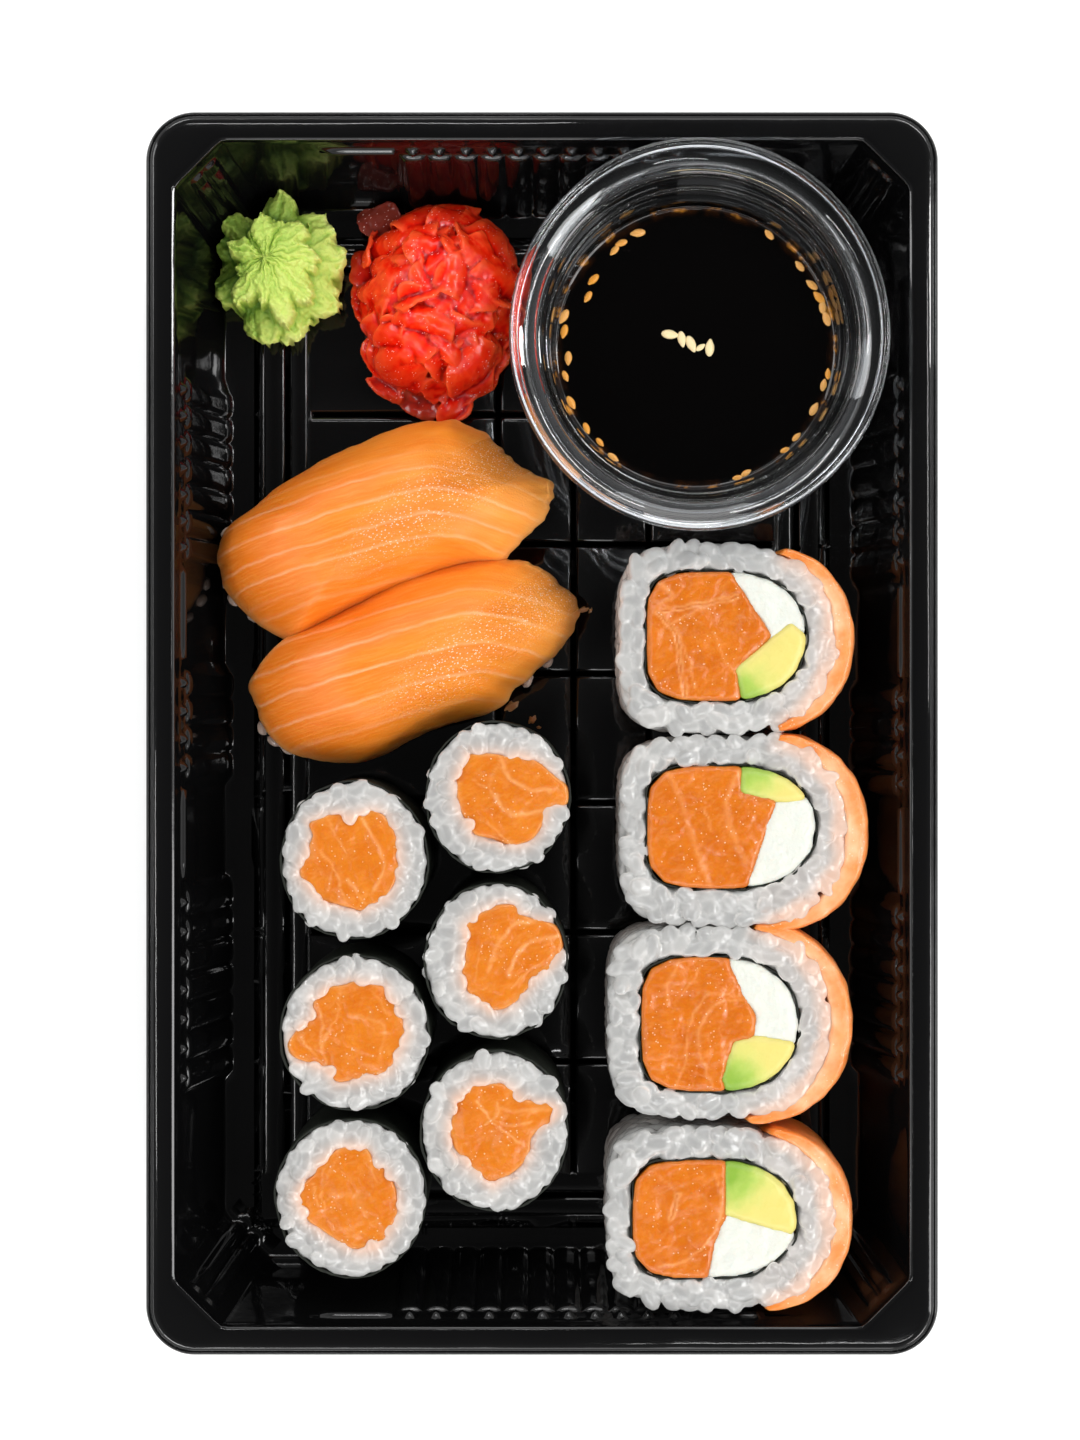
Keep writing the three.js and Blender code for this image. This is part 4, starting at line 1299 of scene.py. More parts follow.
@dataclass
class Tray:
    """The black formed tray with ribbed walls and a grooved floor.

    Attributes:
        half_width: half its width over the rim.
        half_length: half its length over the rim.
        rim_top: height of the rim.
        foot_side: inset of the wall's foot on the long sides.
        foot_end: the same on the short ends.
        top_inset: inset of the wall's upper edge.
        foot_z: height of the wall's foot.
        wall_top: height of the wall's upper edge.
        cut: length of the cut corners along each side.
        ease: how far the cut corners' edges are rounded.
        sheet: thickness of the plastic.
        column_depth: how far the columns stand out at their shoulder.
        column_foot: the same at their foot.
        shoulder: height where the columns end.
        knob_z: height of the knobs over them.
        knob_radius: radius of the knobs.
        knobs_end: height where knobs and flutes have run out.
        groove_depth: depth of the floor's grooves.
        border: how far the floor's skin ends inside the wall's foot.
        side_rows: first middle, last middle and count of the columns on the long sides.
        end_rows: the same on the short ends.
        side_bars: first and last place of the bars between them on the long sides.
        end_bars: the same on the short ends.
        steady_side: how far from the middle places stay the same at every height on the long sides.
        steady_end: the same on the short ends.
        corner_steps: points round a corner.
        grooves: the grooves of the floor.
    """

    half_width: float = 69.0
    half_length: float = 108.0
    rim_top: float = 27.0
    foot_side: float = 10.25
    foot_end: float = 11.5
    top_inset: float = 5.6
    foot_z: float = 2.0
    wall_top: float = 25.6
    cut: float = 8.0
    ease: float = 1.2
    sheet: float = 0.5
    column_depth: float = 1.05
    column_foot: float = 1.5
    shoulder: float = 21.0
    knob_z: float = 22.7
    knob_radius: float = 1.0
    knobs_end: float = 23.8
    groove_depth: float = 0.5
    border: float = 5.9
    side_rows: tuple = ((60.7, 30.1, 7), (6.0, -8.8, 4), (-31.9, -59.4, 7))
    end_rows: tuple = ((23.1, -23.1, 11),)
    side_bars: tuple = ((9.7, 26.0), (-28.0, -13.0))
    end_bars: tuple = ((26.0, 38.8), (-38.8, -26.0))
    steady_side: float = 70.0
    steady_end: float = 41.0
    corner_steps: int = 35
    grooves: tuple[Groove, ...] = (
        Groove((-8.06, 5.77, 19.6), 0, 0.9, 1.0, 80.6),
        Groove((-46.7, 46.7), 0, 0.9, 1.0, 82.1),
        Groove((-51.0, -43.1, 43.1, 51.0), 0, 0.35, 0.35, 80.6),
        Groove(CROSS_GROOVES, 1, 0.9, 1.0, 42.1),
        Groove((-88.5, 88.5), 1, 0.35, 0.35, 46.1),
    )

    def build(self) -> None:
        """Makes the tray and stands it in for its CAD node."""
        tray = joined([self.wall_skin(), self.floor_skin()], "formed_tray")
        self.bridge(tray)
        finish_with(tray, "SOLIDIFY", thickness=self.sheet * MM, offset=-1.0, use_quality_normals=True)
        dress(tray, Slot.TRAY, BlackPlastic("black_plastic"), "tray")

    def wall_inset(self, z: float | Array) -> tuple[float | Array, float | Array]:
        """Returns the wall's inset on the sides and on the ends at a height."""
        share = (z - self.foot_z) / (self.wall_top - self.foot_z)
        side = self.foot_side + (self.top_inset - self.foot_side) * share
        return side, self.foot_end + (self.top_inset - self.foot_end) * share

    def rows(self) -> list[Row]:
        """Lists the rings of the skin.

        Returns:
            The rings from the floor over the rim to the outer lip.
        """
        side, end, top = self.foot_side, self.foot_end, self.top_inset
        made = [Row(side + 5.6, end + 5.6, FLOOR_TOP, Corner.CUT, 0.4), Row(side + 3.0, end + 3.0, FLOOR_TOP)]
        for inset, z in ((0.8, 1.02), (0.45, 1.14), (0.2, 1.45)):
            made.append(Row(side + inset, end + inset, z))
        heights = [2.0, 3.2, 5.0, 7.5, 10.5, 14.0, 17.5, 20.0, 21.0]
        heights += [21.3, 21.6, 21.9, 22.2, 22.45, 22.7, 22.95, 23.2, 23.5, 23.8, 24.3, 25.2]
        made += [Row(*self.wall_inset(z), z) for z in heights]
        edge = [(0.0, 1.0), (0.01, 0.5), (0.05, 0.33), (0.1, 0.262), (0.14, 0.24), (0.34, 0.137)]
        for out, drop in [*edge, (0.54, 0.04), (0.62, 0.012), (0.8, 0.0), (1.4, 0.0)]:
            made.append(Row(top - out, top - 0.85 * out, self.rim_top - drop))
        lip = [(2.9, 0.06), (1.95, 0.16), (1.72, 0.24), (1.52, 0.46), (1.34, 0.5), (1.14, 0.4)]
        lip += [(0.98, 0.42), (0.78, 0.56), (0.6, 0.85), (0.42, 1.5), (0.26, 2.4), (0.05, 3.5), (0.0, 3.8)]
        for inset, drop in lip:
            made.append(Row(inset, inset, self.rim_top - drop, Corner.ROUND, 9.0 - inset))
        return made

    @staticmethod
    def span(row: tuple[float, float, int]) -> tuple[float, float, float]:
        """Returns half a column's width and both ends of a row, from its middles and count."""
        first, last, count = row
        half = abs(first - last) / (count - 1) / 2
        return half, min(first, last) - half, max(first, last) + half

    def marks(self, rows: tuple, bars: tuple, steady: float) -> Array:
        """Spreads places along a wall, close together where columns stand.

        Args:
            rows: the wall's rows of columns.
            bars: the bars between them.
            steady: how far from the middle the places stay the same at every height.

        Returns:
            The places in order.
        """
        made = set(np.round(np.arange(-steady, steady + 0.1, 2.5), 3))
        for row in rows:
            _, low, high = self.span(row)
            made = {at for at in made if not low - 0.4 < at < high + 0.4}
            made |= set(np.round(np.linspace(low, high, row[2] * 8 + 1), 3))
        for low, high in bars:
            made = {at for at in made if min(abs(at - low), abs(at - high)) > 0.5}
            made |= {low - 0.2, low + 0.2, high - 0.2, high + 0.2}
        return np.array(sorted(made))

    def relief(self, along: Array, z: float, rows: tuple, bars: tuple) -> Array:
        """Measures how far the columns and bars stand out of a wall at a height.

        Args:
            along: places along the wall.
            z: the height.
            rows: the wall's rows of columns.
            bars: the bars between them.

        Returns:
            One distance for each place.
        """
        out = np.zeros(len(along))
        for row in rows:
            half, low, high = self.span(row)
            inside = (along >= low - 0.01) & (along <= high + 0.01)
            across = np.mod(along - low, 2 * half) / half - 1
            arch = np.sqrt(np.clip(1 - across**2, 0, 1)) ** 0.8
            if z <= self.shoulder:
                share = max(z - FLOOR_TOP, 0) / (self.shoulder - FLOOR_TOP)
                front = self.column_foot + (self.column_depth - self.column_foot) * share
                cusp = 0.75 + (0.08 - 0.75) * share
                height = cusp + (front - cusp) * arch
            else:
                ledge = max(0.0, 1 - (z - self.shoulder) / 0.6) * self.column_depth
                reach = self.knob_radius**2 - (z - self.knob_z) ** 2
                knob = np.sqrt(np.clip(reach - (across * half) ** 2, 0, None)) * 1.15
                height = np.maximum(ledge * arch + 0.08 * (z < self.knobs_end), knob)
            out = np.where(inside, height, out)
        for low, high in bars:
            inside = smooth_step(low - 0.25, low + 0.25, along)
            inside = inside * smooth_step(-high - 0.25, -high + 0.25, -along)
            rise = float(np.clip(1.35 - abs(z - self.knob_z) / 0.65, 0, 1))
            out = np.maximum(out, inside * 0.9 * rise)
        return out

    def round_corner(self, width: float, length: float, turn: float) -> Array:
        """Returns the points of a round corner, from the long side to the end."""
        angle = np.linspace(0, 1, self.corner_steps) * math.pi / 2
        return np.column_stack([width - turn + turn * np.cos(angle), length - turn + turn * np.sin(angle)])

    def cut_corner(self, width: float, length: float, row: Row, ease: float) -> Array:
        """Makes a corner that is cut across, with eased edges and two flutes.

        Args:
            width: how far the ring reaches along X.
            length: how far it reaches along Y.
            row: the ring.
            ease: how far the edges are eased.

        Returns:
            The points from the long side to the end.
        """
        bend = np.linspace(0, 1, self.corner_steps)
        slant = ease * math.sqrt(0.5)
        low, high = length - row.turn, width - row.turn
        knots = np.array(
            [
                (width, low - ease),
                (width - ease * 0.12, low - ease * 0.06),
                (width - slant, low + slant),
                (high + slant, length - slant),
                (high - ease * 0.06, length - ease * 0.12),
                (high - ease, length),
            ]
        )
        shares = np.array([0, 0.09, 0.18, 0.82, 0.91, 1.0])
        corner = np.column_stack([np.interp(bend, shares, knots[:, axis]) for axis in (0, 1)])
        if row.z < self.knobs_end and row.turn == self.cut:
            across = (bend - 0.5) / 0.32 * 4.8
            arch = np.sqrt(np.clip(1 - (np.abs(across) - 1.6) ** 2 / 2.56, 0, 1))
            flutes = arch * (1.2 if row.z < self.shoulder else 0.5)
            corner -= flutes[:, None] * math.sqrt(0.5)
        return corner

    def ring(self, row: Row, side_marks: Array, end_marks: Array) -> Array:
        """Makes one ring of the skin.

        Args:
            row: the ring's sizes.
            side_marks: places along the long sides.
            end_marks: places along the short ends.

        Returns:
            Its points, counter-clockwise from the middle of the right side.
        """
        width, length = self.half_width - row.side, self.half_length - row.end
        if row.corner is Corner.ROUND:
            ease = 0.0
            corner = self.round_corner(width, length, row.turn)
        else:
            ease = min(self.ease, row.turn / 2)
            corner = self.cut_corner(width, length, row, ease)
        side = self.stretched(side_marks, self.steady_side, length - row.turn - ease)
        end = self.stretched(end_marks, self.steady_end, width - row.turn - ease)
        walls = row.corner is Corner.CUT and FLOOR_TOP + 0.01 < row.z < 24
        ribs = self.relief(side, row.z, self.side_rows, self.side_bars) * walls
        ends = self.relief(end, row.z, self.end_rows, self.end_bars) * walls
        right = np.column_stack([width - ribs, side])
        far = np.column_stack([-end, length - ends[::-1]])
        left = np.column_stack([-width + ribs[::-1], -side])
        near = np.column_stack([end, -length + ends])
        upper = [right[1:-1], corner, far[1:-1], corner[::-1] * (-1, 1)]
        plan = np.vstack([*upper, left[1:-1], -corner, near[1:-1], corner[::-1] * (1, -1)])
        return np.column_stack([plan, np.full(len(plan), row.z)])

    @staticmethod
    def stretched(marks: Array, steady: float, reach: float) -> Array:
        """Returns marks with two more at each end, the outermost where the corner starts."""
        outer = np.array([reach * 0.5 + steady * 0.5, reach])
        return np.concatenate([-outer[::-1], marks, outer])

    def wall_skin(self) -> Item:
        """Makes the walls, the rim and the outer lip.

        Returns:
            The mesh object.
        """
        side_marks = self.marks(self.side_rows, self.side_bars, self.steady_side)
        end_marks = self.marks(self.end_rows, self.end_bars, self.steady_end)
        rings = np.stack([self.ring(row, side_marks, end_marks) for row in self.rows()])
        count = rings.shape[1]
        skin, u, v = grid("wall_skin", count, len(rings) - 1)
        across = np.round(u * count).astype(int) % count
        up = np.round(v * (len(rings) - 1)).astype(int)
        shape(skin, rings[up, across])
        edit(skin, lambda: bpy.ops.mesh.remove_doubles(threshold=0.00001))
        return skin

    def floor_depth(self, plan: Array) -> Array:
        """Measures how deep the floor is pressed.

        Args:
            plan: X and Y of the places.

        Returns:
            One depth for each place.
        """
        depth = np.zeros(len(plan))
        for groove in self.grooves:
            run = 1 - smooth_step(groove.reach, groove.reach + 0.6, np.abs(plan[:, 1 - groove.crosses]))
            for at in groove.places:
                gap = np.abs(plan[:, groove.crosses] - at)
                profile = 1 - smooth_step(groove.half - 0.35, groove.half + 0.1, gap)
                depth = np.maximum(depth, groove.depth * profile * run)
        return depth * self.groove_depth

    @staticmethod
    def floor_lines(limit: float, wide: Sequence[float], thin: Sequence[float]) -> Array:
        """Spreads lines over the floor, close together along its grooves.

        Args:
            limit: how far the floor reaches from its middle.
            wide: middles of the wide grooves.
            thin: middles of the thin grooves and places where grooves end.

        Returns:
            The lines' places in order.
        """
        made = set(np.round(np.linspace(-limit, limit, 17), 3))
        wide_steps = (-1.05, -0.88, -0.72, -0.55, 0, 0.55, 0.72, 0.88, 1.05)
        thin_steps = (-0.45, -0.22, 0, 0.22, 0.45)
        for places, clear, steps in ((wide, 1.2, wide_steps), (thin, 0.7, thin_steps)):
            for at in places:
                made = {value for value in made if abs(value - at) > clear}
                made |= {at + step for step in steps}
        return np.array(sorted(value for value in made if abs(value) <= limit))

    def floor_skin(self) -> Item:
        """Makes the floor inside the walls' foot, with its pressed grooves.

        Returns:
            The mesh object.
        """
        width = self.half_width - self.foot_side - self.border
        length = self.half_length - self.foot_end - self.border
        along_x, far_x, thin_x, along_y, thin_y = (groove.places for groove in self.grooves)
        ends_x, ends_y = (-42.4, 42.4), (-80.9, 80.9, -82.4, 82.4)
        xs = self.floor_lines(width, (far_x[0], *along_x, far_x[1]), (*thin_x, *ends_x))
        ys = self.floor_lines(length, along_y, (*thin_y, *ends_y))
        floor, u, v = grid("floor_skin", len(xs) - 1, len(ys) - 1)
        x = xs[np.round(u * (len(xs) - 1)).astype(int)]
        y = ys[np.round(v * (len(ys) - 1)).astype(int)]
        plan = np.column_stack([x, y])
        shape(floor, np.column_stack([plan, FLOOR_TOP - self.floor_depth(plan)]))
        return floor

    def bridge(self, tray: Item) -> None:
        """Joins the floor's border to the innermost ring of the walls.

        Args:
            tray: both skins as one mesh object.
        """
        activate(tray)
        bpy.ops.object.mode_set(mode="EDIT")
        bpy.ops.mesh.select_mode(type="EDGE")
        bpy.ops.mesh.select_all(action="DESELECT")
        bpy.ops.mesh.select_non_manifold(extend=False, use_boundary=True)
        bpy.ops.object.mode_set(mode="OBJECT")
        points = np.abs(points_of(tray))
        for edge in tray.data.edges:
            x, y, _ = points[edge.vertices[0]]
            if x > self.half_width - 9 or y > self.half_length - 9:
                edge.select = False
        bpy.ops.object.mode_set(mode="EDIT")
        bpy.ops.mesh.bridge_edge_loops()
        bpy.ops.mesh.select_all(action="SELECT")
        bpy.ops.mesh.normals_make_consistent(inside=False)
        bpy.ops.object.mode_set(mode="OBJECT")
        if sum(face.normal.z * face.area for face in tray.data.polygons) < 0:
            edit(tray, lambda: bpy.ops.mesh.flip_normals())


def kept_in_tray(points: Array) -> Array:
    """Draws points in where they would pass through the tray's walls.

    Args:
        points: the places in millimetres.

    Returns:
        The moved points.
    """
    tray = Tray()
    gap, corner_gap = 0.7, 2.4
    side, end = tray.wall_inset(points[:, 2])
    columns_end = max(tray.end_rows[0][:2]) + 2.4
    columns = (np.abs(points[:, 0]) < columns_end) * tray.column_foot
    width, length = tray.half_width - side - gap, tray.half_length - end - gap - columns
    made = points.copy()
    made[:, 0] = np.clip(points[:, 0], -width, width)
    made[:, 1] = np.clip(points[:, 1], -length, length)
    slant = tray.half_width - side + tray.half_length - end - tray.cut - corner_gap
    beyond = np.clip(np.abs(made[:, 0]) + np.abs(made[:, 1]) - slant, 0, None)
    made[:, :2] -= np.sign(made[:, :2]) * beyond[:, None] / 2
    return made


# ---------------------------------------------------------------- sauce cup


def spun(name: str, profile: Array, middle: Pair, steps: int) -> Item:
    """Spins a closed profile about an upright axis.

    Args:
        name: the piece's name.
        profile: radius and height of each point, from the axis round to the axis.
        middle: X and Y of the axis.
        steps: sections round the axis.

    Returns:
        The mesh object.
    """
    item, u, v = grid(name, steps, len(profile) - 1)
    radius, height = profile[np.round(v * (len(profile) - 1)).astype(int)].T
    shape(item, around(middle, u * FULL_TURN, (radius, radius), height))
    return close_seams(item)


@dataclass
class SauceCup:
    """The clear cup with its rolled lip, its flange and two steps in its wall.

    Attributes:
        middle: X and Y of its axis.
        profile: radius and height of its skin, outside up and inside down.
        stretch: how much longer than wide its lip is.
        shift: how far its lip lies up the tray.
    """

    middle: Pair = (26.8, 67.6)
    profile: tuple = (
        (0, 1.3), (22.0, 1.3), (22.6, 1.5), (22.9, 2.0), (25.9, 23.4), (26.6, 26.0), (27.5, 29.2),
        (27.9, 30.8), (28.5, 31.5), (30.4, 32.2), (31.4, 32.3), (31.7, 31.8), (32.2, 31.7), (32.45, 32.3),
        (32.42, 33.3), (32.1, 33.85), (31.7, 34.0), (31.3, 33.8), (31.05, 33.3), (30.8, 33.0), (30.3, 32.85),
        (28.5, 32.1), (28.1, 31.8), (27.95, 31.3), (27.75, 29.7), (27.5, 29.4), (27.1, 29.3), (26.9, 28.9),
        (26.45, 26.2), (26.2, 25.9), (25.85, 25.8), (25.65, 25.4), (25.2, 22.6), (22.4, 2.7), (21.9, 2.2),
        (0, 2.2),
    )  # fmt: skip
    stretch: float = 1.03
    shift: float = 0.3

    def build(self) -> None:
        """Makes the cup."""
        cup = spun("clear_cup", np.array(self.profile, float), self.middle, 256)
        finish_with(cup, "BEVEL", width=0.12 * MM, segments=3, limit_method="ANGLE")
        points = points_of(cup)
        grow = 1 + (self.stretch - 1) * smooth_step(20, 33, points[:, 2])
        points[:, 1] = self.middle[1] + (points[:, 1] - self.middle[1]) * grow + self.shift * (grow > 1.0)
        shape(cup, points)
        dress(cup, Slot.CUP, ClearPlastic("clear_plastic"), "sauce_cup")


@dataclass
class SoySauce:
    """The sauce in the cup and the seeds that float on it.

    Attributes:
        middle: X and Y of the cup's axis.
        level: height of the sauce.
        wall_radius: radius where it meets the cup.
        foot: radius and height of its underside.
        row: X, Y, turn in degrees and size of the seeds in the middle.
        shore: X and Y of the soaked seeds along the cup.
        shore_radius: how far from the axis they lie at most.
    """

    middle: Pair = (26.8, 67.6)
    level: float = 19.75
    wall_radius: float = 24.92
    foot: Pair = (21.9, 2.25)
    row: tuple = (
        (22.5, 70.0, -8, 1.0), (24.55, 69.15, -80, 0.92), (26.2, 68.3, -66, 1.0), (27.85, 67.75, 34, 0.62),
        (29.45, 67.7, 86, 1.0),
    )  # fmt: skip
    shore: tuple = (
        (40.0, 87.9), (45.8, 82.5), (48.0, 79.1), (48.9, 76.6), (49.7, 75.1), (50.3, 72.9), (50.4, 63.1),
        (47.7, 57.0), (44.9, 51.9), (43.0, 49.5), (36.2, 44.9), (12.2, 48.0), (9.5, 50.4), (7.3, 53.1),
        (5.0, 58.0), (4.1, 62.7), (4.2, 65.8), (8.1, 76.6), (8.8, 79.8), (16.9, 87.7), (13.9, 86.1),
        (12.6, 84.9), (3.4, 70.6), (3.9, 73.1), (49.4, 61.2), (34.6, 44.3),
    )  # fmt: skip
    shore_radius: float = 23.9

    def build(self) -> None:
        """Makes the sauce and its seeds."""
        reach, level = self.wall_radius, self.level
        base, bottom = self.foot
        profile = [(0, bottom), (base, bottom), (reach, level + 0.5), (reach - 0.25, level + 0.35)]
        profile += [(reach - 0.6, level + 0.13), (reach - 1.1, level + 0.03), (reach - 1.8, level)]
        profile += [(reach - 3.5, level), (12.0, level), (0, level)]
        pool = spun("soy_pool", np.array(profile, float), self.middle, 120)
        points = points_of(pool)
        radius = np.hypot(points[:, 0] - self.middle[0], points[:, 1] - self.middle[1])
        thin = smooth_step(reach - 1.9, reach - 0.2, radius) * (points[:, 2] > 10)
        paint(pool, "thin", thin)
        dress(pool, Slot.SOY, SoyLiquid("soy_liquid"), "soy_sauce")
        self.seeds()

    def seeds(self) -> None:
        """Makes the seeds: a short row in the middle and loose groups along the cup."""
        random = np.random.default_rng(5)
        seed, ball = small_ball()
        taper = 1 - 0.38 * smooth_step(0.0, 1.0, ball[:, 2])
        shape(seed, np.column_stack([ball[:, 2] * 1.6, ball[:, 0] * taper * 0.86, ball[:, 1] * taper * 0.5]))
        places = [(x, y, self.level + 0.22) for x, y, _, _ in self.row]
        headings = [(math.radians(turn), size) for _, _, turn, size in self.row]
        soaked = [0.0] * len(self.row)
        for x, y in self.shore:
            away = math.atan2(y - self.middle[1], x - self.middle[0])
            radius = min(math.hypot(x - self.middle[0], y - self.middle[1]), self.shore_radius)
            radius += random.uniform(-0.5, 0.2)
            spot = (self.middle[0] + radius * math.cos(away), self.middle[1] + radius * math.sin(away))
            places.append((*spot, self.level - 0.05))
            headings.append((away + math.pi / 2 + random.normal(0, 0.25), random.uniform(0.6, 0.95)))
            soaked.append(random.uniform(0.75, 1.0))
        frames = np.array([turned(turn, random.normal(0, 0.1)) * size for turn, size in headings])
        seeds = scattered("sesame_seeds", seed, frames, np.array(places))
        paint(seeds, "soaked", np.repeat(soaked, len(ball)))
        dress(seeds, Slot.SESAME, SesameSeed("sesame_seed"))


# ---------------------------------------------------------------- rice


def turned(about_z: float, roll: float) -> Array:
    """Returns a turning matrix: a roll about X, then a turn about Z."""
    cz, sz, cx, sx = math.cos(about_z), math.sin(about_z), math.cos(roll), math.sin(roll)
    turn = np.array([[cz, -sz, 0], [sz, cz, 0], [0, 0, 1]])
    return turn @ np.array([[1, 0, 0], [0, cx, -sx], [0, sx, cx]])


def scattered(name: str, model: Item, frames: Array, places: Array) -> Item:
    """Copies one modelled shape to many places as a single mesh.

    Args:
        name: the name of the whole.
        model: the shape, which is removed afterwards.
        frames: one 3 by 3 matrix for each copy.
        places: one place in millimetres for each copy.

    Returns:
        The mesh object.
    """
    base = points_of(model)
    faces = [tuple(face.vertices) for face in model.data.polygons]
    spread = np.einsum("kij,nj->kni", frames, base) + places[:, None, :]
    starts = range(0, len(places) * len(base), len(base))
    every = [tuple(corner + start for corner in face) for start in starts for face in faces]
    mesh = bpy.data.meshes.new(name)
    mesh.from_pydata((spread.reshape(-1, 3) * MM).tolist(), [], every)
    bpy.data.objects.remove(model)
    item = bpy.data.objects.new(name, mesh)
    bpy.context.scene.collection.objects.link(item)
    return item


@dataclass
class Grain:
    """One grain's place on a roll.

    Attributes:
        place: its middle.
        along: direction of its long axis.
        out: direction that faces out of the roll there.
        size: half length, half width and half thickness.
    """

    place: Array
    along: Array
    out: Array
    size: Triple

    def axes(self) -> Array:
        """Returns the grain's length, width and thickness directions as columns."""
        x = self.along / np.linalg.norm(self.along)
        z = self.out - x * (self.out @ x)
        z = z / np.linalg.norm(z) if np.linalg.norm(z) > 0.05 else np.cross(x, (0.3, 0.8, 0.52))
        return np.stack([x, np.cross(z, x), z], axis=1)


def rice_grains(name: str, grains: Sequence[Grain], seed: int) -> Item:
    """Makes a coat of rice from places, all grains as one mesh.

    Args:
        name: the piece's name.
        grains: the places.
        seed: start of the random draws.

    Returns:
        The mesh object.
    """
    model, ball = small_ball()
    plump = np.sign(ball[:, 2]) * np.abs(ball[:, 2]) ** 0.85
    shape(model, np.column_stack([plump, ball[:, 0], ball[:, 1]]))
    frames = np.array([grain.axes() * np.array(grain.size) for grain in grains])
    made = scattered(name, model, frames, np.array([grain.place for grain in grains]))
    shape(made, shaken(points_of(made), 0.1, 2.0, seed))
    return made


def pressed_rice(pieces: Sequence[Item], grains: Sequence[Grain], name: str, voxel: float) -> Item:
    """Presses grains and the body under them into one skin with soft seams.

    Args:
        pieces: the coat of grains and the body.
        grains: the grains of the coat.
        name: the name of the whole.
        voxel: size of the skin's faces before they are thinned out.

    Returns:
        The mesh object, with a rim attribute that paints a sheen on the grains' sides and seams, and a tone
        attribute.
    """
    whole = finish_with(one_skin(joined(pieces, name), voxel, 1), "DECIMATE", ratio=0.45)
    points, normals = points_of(whole), normals_of(whole)
    places = np.array([grain.place for grain in grains])
    tree = tree_of(places)
    near = np.array([[found[1] for found in tree.find_n(point, 4)] for point in points])
    away = points[:, None, :] - places[near]
    frames = np.array([grain.axes() / np.array(grain.size) for grain in grains])
    reach = np.linalg.norm(np.einsum("nkj,nkji->nki", away, frames[near]), axis=2)
    order = np.sort(reach, axis=1)
    own = near[np.arange(len(points)), reach.argmin(axis=1)]
    # Painted sheen: rim is high where a grain's side slopes away from the roll's face and along the seams
    # between grains.
    seam = 1 - np.clip((order[:, 1] - order[:, 0]) / 0.34, 0, 1)
    slope = 1 - np.abs((normals * np.array([grain.out for grain in grains])[own]).sum(axis=1))
    paint(whole, "rim", np.clip(0.32 * seam + 0.9 * slope, 0, 1))
    paint(whole, "tone", np.random.default_rng(len(grains)).uniform(0, 1, len(grains))[own] ** 2)
    return whole


def stacked(name: str, rings: Array) -> Item:
    """Makes a closed skin over a stack of rings.

    Args:
        name: the piece's name.
        rings: the rings' points, all rings of equal count.

    Returns:
        The mesh object.
    """
    last, count = len(rings) - 1, rings.shape[1]
    item, u, v = grid(name, count, last)
    across = np.round(u * count).astype(int) % count
    shape(item, rings[np.round(v * last).astype(int), across])
    return close_seams(item)


def ring_body(name: str, rings: Sequence[Array]) -> Item:
    """Returns a ring-shaped body, over rings in order round its section."""
    return stacked(name, np.stack([*rings, rings[0]]))


def solid_body(name: str, rings: Sequence[Array]) -> Item:
    """Makes a closed body over rings, with its first and last ring drawn together to a point.

    Args:
        name: the piece's name.
        rings: the rings in order.

    Returns:
        The mesh object.
    """
    stack = np.stack(rings)
    stack[0] = stack[0].mean(axis=0)
    stack[-1] = stack[-1].mean(axis=0)
    return stacked(name, stack)


# ---------------------------------------------------------------- thin maki


